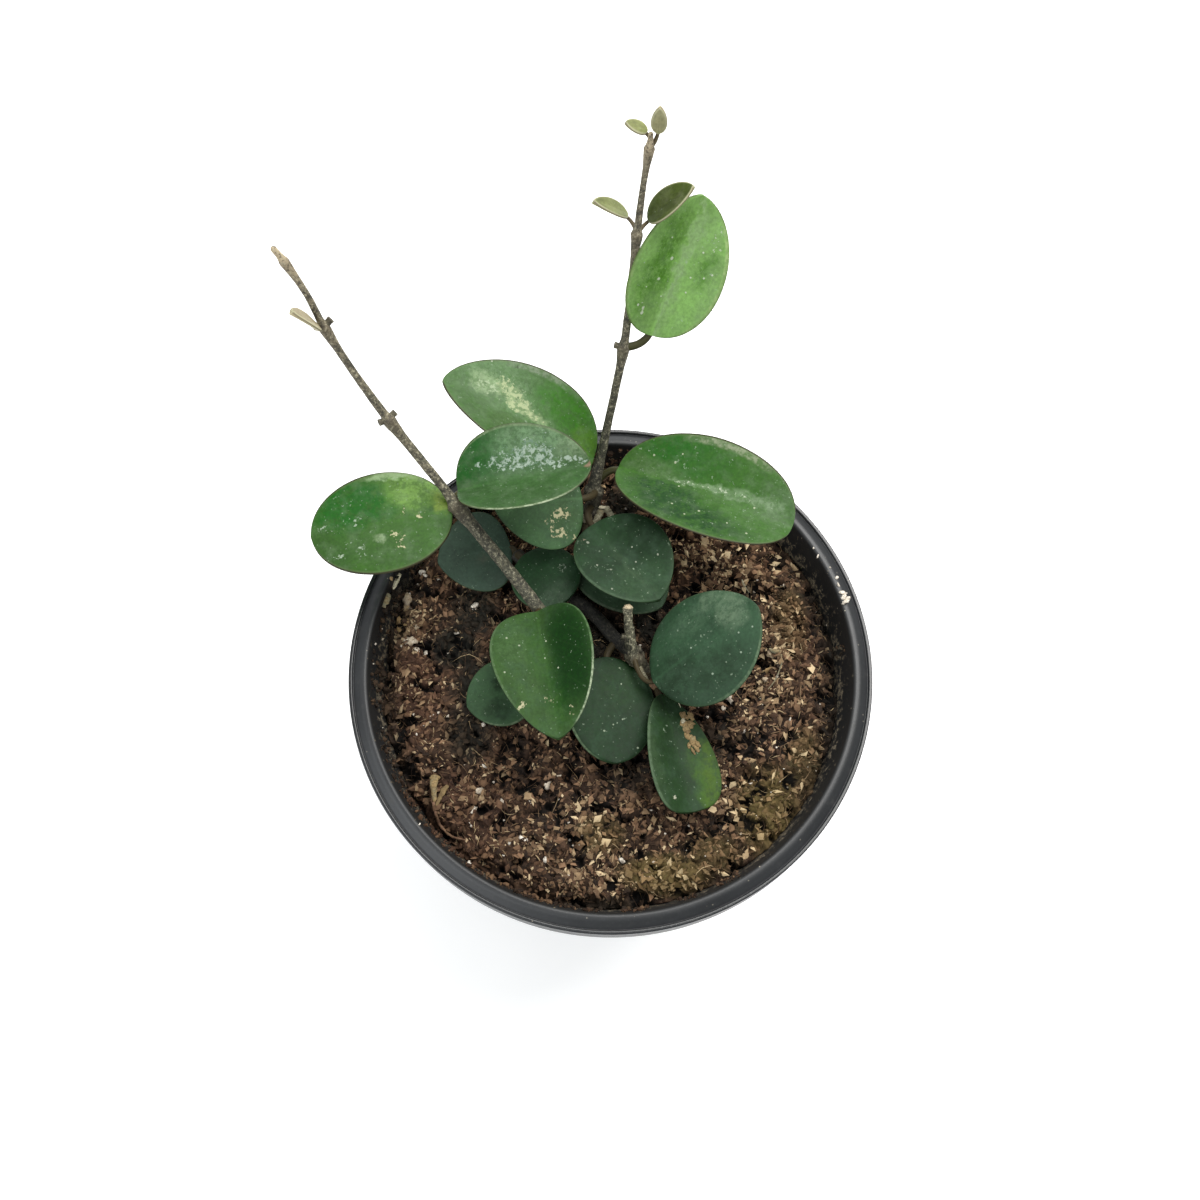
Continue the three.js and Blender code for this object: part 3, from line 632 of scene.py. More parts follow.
def barkMaterial():
    # browner up the stem and at knots, greyer low down and painted darker there as shade, with light
    # and dark specks of two sizes, lichen on the old wood, a pale cut end and each stem's own painted shade
    material, wire = newMaterial("bark")
    point = objectPoint(wire)
    climb = wire.attribute("climb")
    knot = wire.attribute("knot")
    blotch = point.noise(0.55, 4)
    grain = point.noise(3.2, 4, 0.65)
    height = point.parts()[2]
    old = blotch.above(0.35, 0.68).blend(colour(54, 54, 42), colour(88, 86, 68))
    fresh = blotch.above(0.35, 0.68).blend(colour(76, 71, 56), colour(108, 100, 80))
    base = climb.above(0.3, 0.75).blend(old, fresh)
    base = (climb.above(0.9, 0.99) * 0.8).blend(base, colour(176, 160, 130))
    base = (grain.above(0.56, 0.68) * 0.75).blend(base, colour(160, 154, 130))
    base = ((1 - grain.above(0.34, 0.46)) * 0.75).blend(base, colour(36, 33, 27))
    mottled = point.moved(4, 2, 6).noise(1.4, 3, 0.6)
    base = ((1 - mottled.above(0.4, 0.48)) * 0.7).blend(base, colour(32, 30, 25))
    base = (mottled.above(0.57, 0.64) * 0.6).blend(base, colour(166, 160, 136))
    lichen = point.noise(1.3, 5, 0.7).above(0.6, 0.7) * (1 - climb.above(0.6, 0.9))
    base = (lichen * 0.5).blend(base, colour(132, 136, 110))
    base = (knot * 0.4).blend(base, colour(84, 74, 56))
    # painted shade: darker low down near the soil, but not at a stem's end; each stem's own painted shade on
    # top
    shade = height.above(78, 96) * 0.5 + 0.5
    base = base.lit(shade.larger(climb.above(0.75, 0.95)) * (1 - wire.attribute("damp") * 0.4))
    roughness = 0.62 + grain * 0.25
    normal = (grain + blotch * 0.5).bump(0.55, 0.18)
    return finishSurface(material, base, roughness, normal)


def makeStems():  # each node's bars and stubs in one piece
    material = barkMaterial()
    for node, members in stemNodes.items():
        parts = [stemShell(stems[name]) for name in members]
        for name in members:
            for k, (at, towards) in enumerate(stems[name]["scars"]):
                parts.append(scarShell(at, towards, stems[name]["seed"] + 20 + k))
        points, faces, values = gathered(parts, ("climb", "knot", "damp"))
        makePiece("woody_" + node, points, faces, material, node, values)
        overhead.append(points)
    print("stems made")


makeStems()


# leaves

# in each look, haze and its tone are a painted sheen, and rim and its strength a painted highlight along the
# edge
green = {
    "slot": "leaf_green", "shine": 0.42, "specks": 0.16, "flecks": 0.65,
    "paintedSheen": 0.18, "paintedSheenTone": (136, 156, 128),
    "lift": 1.3, "sink": 0.78, "edge": (66, 58, 48), "edgeWidth": 0.5, "rim": (110, 126, 84),
    "rimHighlight": 0.35, "stalk": (92, 92, 62),
}
dark = {
    "slot": "leaf_dark", "shine": 0.5, "specks": 0.14, "flecks": 0.655,
    "paintedSheen": 0.28, "paintedSheenTone": (80, 102, 84),
    "lift": 1.3, "sink": 0.7, "edge": (50, 62, 46), "edgeWidth": 0.12, "rim": (84, 104, 76),
    "rimHighlight": 0.45, "stalk": (84, 76, 58),
}
young = {
    "slot": "leaf_young", "shine": 0.42, "specks": 0.05, "flecks": 0.74,
    "paintedSheen": 0.15, "paintedSheenTone": (190, 190, 160),
    "lift": 1.25, "sink": 0.8, "edge": (150, 140, 112), "edgeWidth": 0.1, "rim": (206, 204, 168),
    "rimHighlight": 0.8, "stalk": (120, 108, 84),
}
grownLeaf = {
    "edge": 0.8, "middle": 1.5, "rows": 66, "columns": 44, "stalkRoot": 0.95, "stalkEnd": 0.65,
    "overlap": 4.5,
}
youngLeaf = {
    "edge": 0.6, "middle": 1.1, "rows": 40, "columns": 32, "stalkRoot": 0.5, "stalkEnd": 0.3,
    "overlap": 1.4,
}
bladeForm = {
    "crease": 0.25, "usualWidth": 24, "ribWidth": 0.8, "ribDepth": 0.3, "grooveDepth": 0.16,
    "wave": 0.2, "waveLength": 9, "stalkBend": 0.45, "stalkSides": 16,
}
leafLight = {"gain": 1.7, "sheen": 0.018, "gloss": 0.2}

# what is painted on a leaf: patches of another tone, some the leaf's own colour and some painted light and
# shade, painted shade, flakes of scurf (with how fine they are) and lit bands beside the rim, which are
# painted highlights (with how far in they start and end), each in soft ovals that are given by along,
# across, half length and half width, all in mm, and by strength; and single dots (with a tone), each by
# along, across and radius
leaves = {
    "leaf_node1_left": {
        "from": (-3.7, 42.6, 83), "base": (-4, 47.5, 89), "heading": 161, "rise": 33, "arch": 15,
        "length": 38.5, "width": 25.5, "roll": 10, "twist": 1, "fold": 24, "tip": 0.12, "heel": 0.48,
        "look": green, "seed": 1, "tone": (80, 120, 60),
        "colourAndLightPatches": [((114, 146, 102), [(24, -3, 12, 7, 0.95)]), ((92, 118, 80), [(31, 4, 7, 6, 0.7)]),
            ((68, 126, 40), [(10, -7, 8, 4.5, 0.9)]), ((88, 132, 46), [(3, -2.5, 4, 3, 0.8)]),
            ((76, 104, 54), [(20, 5, 6, 4, 0.7)]), ((158, 184, 138), [(29.6, -3.4, 3.4, 2.2, 0.9)]),
            ((160, 184, 134), [(24, -4, 3, 1.6, 0.7), (21, -2.6, 3, 1.4, 0.9), (17.6, -1.4, 3, 0.8, 0.9)])],
        "flakes": [((196, 214, 176), 1.0, [(29, -2.8, 2.6, 2, 1), (20, -10.6, 1.6, 0.8, 0.8)]),
            ((206, 218, 170), 1.0, [
                (24, -4.4, 4.4, 3, 1), (21, -2.6, 3.4, 2.2, 1.1), (17.6, -1.6, 3, 1.1, 1.05)]),
            ((168, 190, 150), 1.3, [(24, -4, 9, 5, 0.75)]),
            ((50, 46, 40), 1.0, [(25.3, -9.8, 0.7, 0.5, 1)])],
        "bands": [((146, 160, 136), [(20, -12, 9, 3, 0.8)], 0.4, 1.5)],
        "dots": [((226, 230, 214), [(30.4, -8.6, 0.23)])],
    },
    "leaf_node1_right": {
        "from": (-3.7, 42.6, 83), "base": (2, 45.5, 88), "heading": -24, "rise": 16, "arch": 19,
        "length": 42, "width": 27, "roll": -3, "twist": 0, "fold": 27, "tip": -0.04, "heel": 0.5,
        "look": green, "seed": 2, "tone": (72, 114, 50),
        "colourAndLightPatches": [((50, 106, 18), [(14, 7.5, 10, 4.5, 1)]), ((62, 104, 44), [(24, 6.5, 8, 4, 0.6)]),
            ((42, 78, 24), [(13, -3.5, 8, 3.4, 1)]), ((42, 76, 28), [(21, -8, 12, 3.8, 1)]),
            ((92, 120, 80), [(38, 3, 5, 6, 0.7), (33, -6, 6, 4, 0.3)]),
            ((100, 130, 84), [(8, 2.4, 6, 2.4, 0.6)]),
            ((138, 164, 126), [(17, 1.2, 5, 0.6, 0.55), (25, 1.9, 5, 0.9, 0.7), (33, 2.9, 6, 1.5, 0.7)])],
        "flakes": [((206, 220, 190), 1.1, [
            (15, 1.0, 2, 0.5, 0.85), (19, 1.4, 4.5, 0.5, 0.85), (24.5, 1.8, 2, 1, 1), (30, 2.4, 4, 0.9, 0.8),
            (37, 3.2, 3, 1, 0.6)])],
        "bands": [((156, 166, 136), [(23, 12.4, 9, 4, 0.9)], 0.5, 1.7)],
        "dots": [((206, 214, 182), [
            (7.3, 5.1, 0.26), (13.5, 7.2, 0.21), (12.5, 4.9, 0.27), (15.2, -0.2, 0.23),
            (16, -6.5, 0.26), (19.7, -8.7, 0.23), (22.1, -5.9, 0.27), (33.5, -7.4, 0.24),
            (28.8, -6.5, 0.23), (32.8, 1, 0.26)])],
    },
    "leaf_node2_right": {
        "from": (2.8, 62.5, 113), "base": (8.5, 64.4, 115), "heading": 62, "rise": 50, "arch": 7,
        "length": 31, "width": 22.5, "roll": 28, "twist": 6, "fold": 28, "tip": 0.06, "heel": 0.5,
        "look": dict(green, edge=(92, 112, 62)), "seed": 3, "tone": (142, 190, 104),
        "colourAndLightPatches": [((82, 134, 42), [(11, 4.4, 7, 3.6, 0.9), (19, 4, 6, 2.6, 0.8), (18, -6.4, 5, 1.8, 0.7)]),
            ((182, 212, 158), [(15, -0.6, 14, 0.7, 0.8), (22, -1.6, 5, 1.2, 0.5)]),
            ((98, 142, 62), [(24, 3, 4, 4, 0.6)]),
            ((140, 176, 112), [(13, -1, 12, 1.5, 0.8), (24, -4, 4, 3, 0.6)]),
            ((134, 172, 104), [(12, -9, 9, 1.8, 0.7), (6, 3, 5, 3, 0.4)])],
        "flakes": [((206, 222, 184), 0.9, [(26, 1, 2.5, 2, 0.6), (23, -3, 2, 2, 0.6), (20, 1, 2, 1, 0.5)]),
            ((222, 232, 206), 1.3, [
                (6, 5, 1.6, 0.8, 0.85), (24, -6.6, 4, 1.6, 0.75), (19, -7.6, 4, 1.2, 0.6)])],
        "bands": [((176, 204, 136), [
            (20, -9, 12, 3, 0.8), (8, -8, 8, 4, 0.6), (12, 9, 12, 4, 0.5)], 0.1, 0.8)],
        "dots": [((228, 236, 214), [
            (17.2, 1.9, 0.36), (12.5, 3.2, 0.34), (6, 4.6, 0.3), (4.9, 4.4, 0.4), (6.5, 6.1, 0.26),
            (14.7, -3.9, 0.2), (15.7, -6.5, 0.22), (9, 1, 0.18), (20.5, -4.4, 0.2), (10.6, 5.6, 0.17),
            (21.5, 3.8, 0.18), (11.5, -4, 0.17), (17, -8, 0.2)])],
    },
    "leaf_foot_left": {
        "from": (-3.7, 42.3, 82.4), "base": (-6.5, 37.5, 89), "heading": -167, "rise": 18, "arch": 12,
        "length": 20, "width": 22.5, "roll": -10, "twist": 2, "fold": 5, "tip": 0.18, "heel": 0.46,
        "look": dark, "seed": 4, "tone": (82, 116, 77),
        "colourAndLightPatches": [((56, 82, 46), [(4, 3, 4, 5, 0.6)])],
        "flakes": [((222, 214, 172), 1.0, [
            (5.6, 3, 2.4, 1.8, 1), (8.3, 4.8, 2, 1.7, 0.95), (6.7, 7.1, 2.2, 1.4, 1),
            (3.9, 8.6, 1.8, 1.4, 0.9), (10, 8, 2, 1, 0.7)])],
    },
    "leaf_foot_upper": {
        "from": (-4, 40, 79.2), "base": (-4, 32, 86), "heading": -53, "rise": 18, "arch": 12,
        "length": 25, "width": 22.5, "roll": -5, "twist": -1, "fold": 20, "tip": 0.12, "heel": 0.56,
        "look": dark, "seed": 5, "tone": (50, 73, 50),
        "colourAndLightPatches": [((38, 60, 40), [(11, 5, 7, 5, 0.8)]), ((66, 90, 64), [(20, -2, 5, 7, 0.6)]),
            ((70, 92, 66), [(14, -0.6, 7, 0.7, 0.5)])],
        "flakes": [((186, 168, 148), 1.2, [(3.5, -5, 1.6, 1.4, 0.8)])],
        "bands": [((84, 106, 82), [(18, -9, 9, 5, 0.8)], 0.1, 0.6)],
        "dots": [((180, 186, 166), [
            (4.2, -4.3, 0.32), (10.7, -6.6, 0.23), (16.6, 6.4, 0.23), (13.2, -4.6, 0.2),
            (17.6, -7.8, 0.21), (11.1, 3.2, 0.2), (14.5, 1.6, 0.2)])],
    },
    "leaf_foot_lower": {
        "from": (-4.2, 38.1, 77.3), "base": (-5, 31, 79.3), "heading": -45, "rise": 9, "arch": 12,
        "length": 23.5, "width": 21, "roll": -1, "twist": -1, "fold": 9, "tip": 0.1, "heel": 0.42,
        "look": dark, "seed": 6, "tone": (70, 94, 70),
        "bands": [((104, 118, 98), [(18, -6, 10, 7, 0.9)], 0.05, 0.5)],
    },
    "leaf_node2_west": {
        "from": (-33.3, 30.3, 103), "base": (-34, 29, 102), "heading": -168, "rise": 5, "arch": 10,
        "length": 30.3, "width": 23, "roll": -2, "twist": -2, "fold": 3, "tip": 0, "heel": 0.48,
        "look": green, "seed": 7, "tone": (67, 105, 47),
        "colourAndLightPatches": [((124, 164, 82), [(8, -6, 7, 4, 0.95)]), ((130, 154, 66), [(1.5, -2.5, 2.4, 2.6, 0.8)]),
            ((44, 102, 16), [(21, -5, 8, 5, 1.1), (15, -2.6, 4, 2, 0.7)]),
            # the first patch here, pale and narrow at the top edge, is a painted highlight
            ((168, 196, 148), [(11, -10.3, 5, 1, 0.8)]), ((70, 104, 54), [(15, 5, 7, 4, 0.6)]),
            ((64, 98, 50), [(24, 4, 5, 4, 0.6)]), ((156, 176, 138), [(15.7, 3.4, 1.3, 1, 0.7)])],
        "flakes": [
            ((220, 214, 174), 1.1, [
                (10.2, -0.8, 1.4, 1.1, 1), (7, -0.2, 1.1, 0.9, 0.95), (12.1, 3.5, 1.7, 1.6, 1),
                (11.6, 6, 1.2, 1.1, 0.9)]),
            ((186, 204, 180), 1.1, [
                (25.7, 5.6, 1.8, 1.3, 0.9), (20.4, 5.2, 1.5, 1, 0.9), (21, -1.9, 3, 1.6, 0.8),
                (26.4, -0.6, 2.4, 1.4, 0.8)])],
        "bands": [((150, 176, 124), [(8, -11, 8, 3, 0.9)], 0.2, 1.1)],
    },
    "leaf_node2_east": {
        "from": (-33.3, 30.3, 103), "base": (-32.5, 32.5, 104), "heading": 9, "rise": 14, "arch": 12,
        "length": 29, "width": 24, "roll": -1, "twist": 15, "fold": 35, "tip": 0.06, "heel": 0.44,
        "look": green, "seed": 8, "tone": (72, 106, 62),
        "colourAndLightPatches": [((34, 94, 12), [(5, 6.5, 8, 5, 1.2)]), ((130, 164, 122), [(19, 7.4, 9, 3.8, 0.8)]),
            ((146, 170, 132), [(25.5, 4.2, 3.5, 2.6, 0.7)]), ((90, 122, 84), [(16, 3, 9, 3, 0.6)]),
            ((70, 100, 60), [(14, -7, 9, 4, 0.6)]), ((150, 118, 100), [(28.7, 0.2, 0.7, 0.9, 0.8)])],
        "flakes": [
            ((192, 210, 194), 0.85, [
                (7, 4.4, 3, 1.8, 0.9), (11.4, 4.2, 4, 2.8, 1.05), (17.2, 4.2, 5.5, 3.2, 1.1),
                (22, 2, 5, 1.8, 1), (25.5, 1.5, 3.4, 1.2, 1), (18, 8, 6, 2, 0.7)]),
            ((130, 158, 136), 1.4, [(16, 4.6, 11, 4.6, 0.85), (20, -5, 8, 3, 0.4)])],
        "bands": [
            ((182, 196, 164), [(17, -12, 13, 5, 1)], 0.0, 0.45),
            ((140, 162, 124), [(16, 12, 14, 5, 0.7)], 0.1, 0.6)],
    },
    "leaf_front_folded": {
        "from": (-14.6, 10.8, 86.4), "base": (-16, 10, 90), "heading": -80, "rise": 21, "arch": 16,
        "length": 31, "width": 24, "roll": 5, "twist": -11, "fold": 24, "tip": 0.11, "heel": 0.36,
        "look": dark, "seed": 9, "gloss": 0.12, "tone": (70, 99, 57),
        "shade": [((28, 62, 17), [(10, 6.6, 9, 5, 1), (16, 6.8, 9, 4.6, 1)])],
        "colourAndLightPatches": [((50, 84, 38), [(21, 1.6, 6, 3, 0.7)]), ((36, 70, 22), [(15, 3.4, 10, 1.6, 0.6)]),
            ((82, 111, 70), [(8, -7, 6, 3.4, 0.7), (18, -5, 6, 2, 0.4)]),
            ((62, 94, 50), [(10, -1.4, 7, 2, 0.6)])],
        "flakes": [((216, 210, 172), 1.2, [
            (22, -1.3, 1.1, 1.1, 1), (23.5, -7.3, 1.3, 1.2, 0.95), (26.3, 4, 1.1, 1, 0.8)])],
        "bands": [
            ((184, 198, 166), [(21, 8, 8, 5, 1)], 0.0, 0.4), ((110, 140, 96), [(8, 11, 8, 6, 0.6)], 0.0, 0.4),
            ((110, 134, 98), [(12, -11, 12, 5, 0.6)], 0.1, 0.5)],
        "dots": [((196, 206, 178), [
            (6.8, -7.6, 0.23), (8.9, -5.2, 0.23), (8.6, 1, 0.21), (15.4, -9.3, 0.23),
            (12.5, 0.1, 0.2), (15.7, 2.7, 0.21)])],
    },
    "leaf_front_low": {
        "from": (-10.8, 8, 77.6), "base": (-18, -3.5, 80.5), "heading": -159, "rise": 5, "arch": 11,
        "length": 14.5, "width": 15, "roll": -6, "twist": 1, "fold": 9, "tip": 0.12, "heel": 0.46,
        "look": dark, "seed": 10, "tone": (74, 104, 72),
        "colourAndLightPatches": [((38, 58, 36), [(5, -2, 3, 2, 0.8), (8, 3, 3, 2, 0.6)])],
        "bands": [((122, 140, 110), [(7, 7.4, 7, 4, 0.9)], 0.0, 0.4)],
    },
    "leaf_centre_right": {
        "from": (5, 3, 83.3), "base": (9.5, -4.5, 86), "heading": 31, "rise": 33, "arch": 8,
        "length": 28.5, "width": 25, "roll": -11, "twist": -1, "fold": -10, "tip": 0.12, "heel": 0.52,
        "look": dark, "seed": 11, "slim": 0.65, "tone": (64, 92, 68),
        "colourAndLightPatches": [((80, 106, 82), [(14, 6.4, 5, 2.8, 0.7), (22, 8, 3, 2.4, 0.5)]),
            ((112, 134, 108), [(23.3, 3, 3.4, 4, 0.8), (20.4, 8, 3, 2, 0.6)]),
            ((38, 58, 38), [(5, -3, 6, 5, 0.7), (14, -6, 6, 4, 0.6)])],
        "flakes": [((150, 172, 146), 1.0, [(23, 4, 3, 3, 0.6), (16, 7, 4, 2, 0.5)])],
        "bands": [((110, 132, 104), [(20, -10, 9, 6, 0.9)], 0.05, 0.5)],
        "dots": [((176, 194, 172), [
            (11.5, 0.9, 0.21), (20.3, -6.4, 0.23), (25.3, -3.4, 0.2), (12.6, -6.7, 0.23),
            (22.2, -2.7, 0.2)])],
    },
    "leaf_centre_front": {
        "from": (1.8, 6.2, 81.2), "base": (-1, 2.5, 80.8), "heading": -85, "rise": 9, "arch": 9,
        "length": 24.5, "width": 20, "roll": -12, "twist": -1, "fold": 5, "tip": 0.02, "heel": 0.48,
        "look": dark, "seed": 12, "tone": (33, 62, 34),
        "colourAndLightPatches": [((46, 72, 40), [(7, 2, 6, 5, 0.7)]), ((44, 70, 44), [(15, -4, 6, 3, 0.6)])],
        "bands": [((126, 146, 114), [(17, -9, 8, 5, 1)], 0.0, 0.4)],
        "dots": [((184, 198, 172), [
            (2.8, 2.8, 0.21), (6.6, 2.7, 0.21), (17.3, -2.1, 0.23), (16, 0, 0.2),
            (21.4, 5, 0.23), (14.9, 2.2, 0.2)])],
    },
    "leaf_centre_curled": {
        "from": (6.7, 0.7, 77.6), "base": (11, -6, 80.5), "heading": -77, "rise": 13, "arch": 12,
        "length": 27.5, "width": 17, "roll": -22, "twist": 5, "fold": 19, "tip": -0.22, "heel": 0.6,
        "look": dark, "seed": 13, "tone": (50, 74, 46),
        "colourAndLightPatches": [
            ((76, 104, 14), [(16.5, 6.8, 3.6, 2, 0.75), (21, 6.2, 5, 2.4, 1), (25.6, 5.2, 3, 2.2, 0.95)]),
            ((70, 104, 34), [(20, 3.2, 6, 1.6, 0.6)]), ((66, 88, 60), [(13, -7, 11, 1.8, 0.8)]),
            ((40, 62, 34), [(14, 0, 9, 3, 0.6)])],
        "flakes": [((210, 210, 186), 1.3, [(24.1, -4.2, 1, 1, 1)])],
        "bands": [((96, 118, 90), [(14, -8, 13, 4, 0.9)], 0.05, 0.6)],
    },
    "leaf_branch_left": {
        "from": (-21.6, 27.6, 79.6), "base": (-23, 29.5, 79.5), "heading": -165, "rise": 10, "arch": 12,
        "length": 17, "width": 19.5, "roll": -5, "twist": 1, "fold": 7, "tip": 0.2, "heel": 0.44,
        "look": dark, "seed": 14, "tone": (80, 100, 86),
        "colourAndLightPatches": [((92, 100, 86), [(6.5, 1.3, 1.8, 1.1, 0.7)])],
    },
    "leaf_branch_right": {
        "from": (-21.6, 27.6, 79.6), "base": (-20, 26, 82), "heading": -44, "rise": 10, "arch": 11,
        "length": 15, "width": 16, "roll": -1, "twist": 0, "fold": 3, "tip": -0.08, "heel": 0.46,
        "look": dark, "seed": 15, "tone": (50, 78, 52),
        "colourAndLightPatches": [((74, 94, 74), [(13, -3, 2.5, 5, 0.7)])],
        "flakes": [((176, 190, 170), 1.2, [(8.8, 4.4, 1.4, 1.6, 0.9)])],
    },
    "young_leaf_node3_right": {
        "from": (5.1, 74.3, 137), "base": (7.5, 77, 138), "heading": 12, "rise": 50, "arch": 13,
        "length": 12, "width": 7, "roll": -2, "twist": 1, "fold": 16, "tip": 0.14, "heel": 0.48,
        "look": young, "seed": 16, "tone": (84, 98, 48),
        "colourAndLightPatches": [((68, 78, 40), [(6, -1, 4, 1.6, 0.8)])],
    },
    "young_leaf_node3_left": {
        "from": (5.1, 74.3, 137), "base": (3, 78, 138), "heading": -167, "rise": 50, "arch": 13,
        "length": 9.5, "width": 4.5, "roll": 2, "twist": 1, "fold": 16, "tip": 0.14, "heel": 0.46,
        "look": young, "seed": 17, "tone": (142, 150, 98),
    },
    "young_leaf_tip_left": {
        "from": (7, 80.6, 155), "base": (6.4, 82, 158), "heading": 169, "rise": 29, "arch": 12,
        "length": 4.5, "width": 3, "roll": -1, "twist": 1, "fold": 13, "tip": 0.12, "heel": 0.46,
        "look": young, "seed": 18, "tone": (140, 146, 92),
    },
    "young_leaf_tip_right": {
        "from": (7, 80.6, 155), "base": (8.6, 81.6, 158.5), "heading": 84, "rise": 88, "arch": 12,
        "length": 5.9, "width": 3.2, "roll": 0, "twist": 0, "fold": 12, "tip": 0.1, "heel": 0.48,
        "look": young, "seed": 19, "tone": (176, 172, 130),
    },
    "young_leaf_left": {
        "from": (-55.6, 51.9, 139), "base": (-56.5, 51, 140), "heading": -149, "rise": 74, "arch": 12,
        "length": 9.5, "width": 5, "roll": 8, "twist": 1, "fold": 11, "tip": 0.1, "heel": 0.48,
        "look": young, "seed": 20, "tone": (178, 166, 134),
    },
}


def bladeFrame(leaf, s):
    # the midrib is an arc that starts at the rise angle and bends down by the arch; across it lies a
    # level direction, rolled and twisted about the midrib; out of the upper face points their product
    start, arch = math.radians(leaf["rise"]), math.radians(leaf["arch"])
    heading = math.radians(leaf["heading"])
    angle = start - arch * s
    run = leaf["length"] * (math.sin(start) - np.sin(angle)) / arch
    climb = leaf["length"] * (np.cos(angle) - math.cos(start)) / arch
    level = np.array([-math.sin(heading), math.cos(heading), 0])
    ahead = np.array([math.cos(heading), math.sin(heading), 0])
    middle = np.array(leaf["base"], float) + run[..., None] * ahead + climb[..., None] * np.array([0, 0, 1])
    along = np.cos(angle)[..., None] * ahead + np.sin(angle)[..., None] * np.array([0, 0, 1])
    upright = np.cross(along, level)
    roll = np.radians(leaf["roll"] + leaf["twist"] * (s - 0.5))[..., None]
    across = level * np.cos(roll) + upright * np.sin(roll)
    return middle, along, across, np.cross(along, across)


def halfWidth(leaf, s):  # s^heel * (1 - s)^(0.5 + tip), scaled to the leaf's width
    front, back = leaf["heel"], 0.5 + leaf["tip"]
    widest = front / (front + back)
    most = widest**front * (1 - widest) ** back
    return leaf["width"] / 2 * s**front * (1 - s) ** back / most


def foldRise(leaf, half, w):  # a place's height over the midrib: straight sides with a soft crease
    crease = bladeForm["crease"]
    return half * math.tan(math.radians(leaf["fold"])) * (np.sqrt(w * w + crease**2) - crease)


def bladeShell(leaf, size):
    # rows go along the midrib, columns right round the section: a lens with a rounded edge, folded
    # at the midrib, with a groove on top of the midrib, a rib under it and a gentle wave
    step = np.linspace(0, 1, size["rows"] + 2)[1:-1]
    s = ((1 - np.cos(np.pi * step)) / 2)[:, None]
    turn = np.linspace(0, 2 * np.pi, size["columns"], endpoint=False)[None, :]
    w = np.cos(turn)
    up = np.sign(np.round(np.sin(turn), 6))
    s, w, up = np.broadcast_arrays(s, w, up)
    middle, _, across, out = bladeFrame(leaf, s)
    half = halfWidth(leaf, s)
    thickness = size["edge"] + (size["middle"] - size["edge"]) * (1 - w * w)
    thickness = thickness * np.sqrt(np.clip(1 - np.abs(w) ** 10, 0, 1))
    aside = half * w
    big = leaf["width"] / bladeForm["usualWidth"]
    rib = np.exp(-((aside / (bladeForm["ribWidth"] * big)) ** 2)) * (1 - s) ** 0.6 * big
    relief = -rib * np.where(up > 0, bladeForm["grooveDepth"], bladeForm["ribDepth"])
    reach = bladeForm["waveLength"]
    place = np.stack([s * leaf["length"] / reach, aside / reach, np.full(s.shape, leaf["seed"] * 7.3)], -1)
    wave = bladeForm["wave"] * big * layered(place, leaf["seed"], 2) * eased(s, 0, 0.15)
    lift = foldRise(leaf, half, w) + up * thickness / 2 + relief + wave
    aslant = (aside * math.cos(math.radians(leaf["fold"])))[..., None]
    points = middle + across * aslant + out * lift[..., None]
    ends = bladeFrame(leaf, np.array([0.0, 1.0]))[0]
    shell = closedShell(points, ends[0], ends[1])
    edge = half * (1 - np.abs(w)) + 0.6 * leaf["length"] * np.clip(0.02 - (1 - s), 0, 1)
    blade = np.stack([s * leaf["length"], aside, edge], -1).reshape(-1, 3)
    share = np.stack([s, w, up], -1).reshape(-1, 3)
    blade = np.concatenate([blade, [[0, 0, 1], [leaf["length"], 0, 0]]])
    share = np.concatenate([share, [[0, 0, 0], [1, 0, 0]]])
    return shell, blade, share


def stalkShell(leaf, size):  # a quadratic bend from the stem into the midrib, thinning under the blade
    start, base = np.array(leaf["from"], float), np.array(leaf["base"], float)
    middle, along, _, out = bladeFrame(leaf, np.array([0.0, size["overlap"] / leaf["length"]]))
    bend = base - along[0] * bladeForm["stalkBend"] * np.linalg.norm(base - start)
    end = base + along[0] * size["overlap"] * 0.35 - out[0] * 0.4
    t = np.linspace(0, 1, 22)[:, None]
    path = (1 - t) ** 2 * start + 2 * t * (1 - t) * bend + t * t * end
    tail = np.linspace(0, 1, 8)[1:, None]
    path = np.concatenate([path, end + (middle[1] - out[1] * 0.5 - end) * tail])
    path, at = evenly(path, 0.35)
    u = at / at[-1]
    radius = size["stalkRoot"] + (size["stalkEnd"] - size["stalkRoot"]) * u
    radius = radius * (1 - 0.85 * eased(u, 0.72, 1)) * leaf.get("slim", 1)
    sides = bladeForm["stalkSides"]
    wave = tubeNoise(at, sides, 1.3, 0.6, leaf["seed"] + 40)
    rings = tubeRings(path, radius[:, None] * (1 + 0.07 * wave), sides, (0.31, 0.17, 1))
    shell = closedShell(rings, path[0], path[-1])
    count = len(shell[0])
    blade = np.stack([np.full(count, 2.0), np.zeros(count), np.full(count, 5.0)], -1)
    back = np.concatenate([np.repeat(u - 1, sides), [-1, 0]])  # -1 at the stem to 0 under the blade
    share = np.stack([back, np.zeros(count), np.zeros(count)], -1)
    return shell, blade, share


def blobs(along, across, spots, low=0.0, high=2.2):
    # soft ovals: each is along, across, half length, half width and strength, and the largest one counts
    total = None
    for at, aside, longHalf, wideHalf, strength in spots:
        one = ((along - at) / longHalf) ** 2 + ((across - aside) / wideHalf) ** 2
        one = (1 - one.above(low, high)) * strength
        total = one if total is None else total.larger(one)
    return total


def singleDots(along, across, spots):  # small hard-edged dots: each is along, across and radius
    total = None
    for at, aside, reach in spots:
        one = ((along - at) ** 2 + (across - aside) ** 2) ** 0.5
        one = 1 - one.above(reach * 0.75, reach * 1.2)
        total = one if total is None else total.larger(one)
    return total


def shifted(tone, factor):  # the same tone, lighter or darker
    return (*[min(1.0, part * factor) for part in tone[:3]], 1.0)


def leafTone(tone):  # a leaf's own colour, from the tone that it shows under these lamps with its sheen
    sheen, gain = leafLight["sheen"], leafLight["gain"]
    return (*[max(part - sheen, part * 0.25) / gain for part in colour(*tone)[:3]], 1.0)


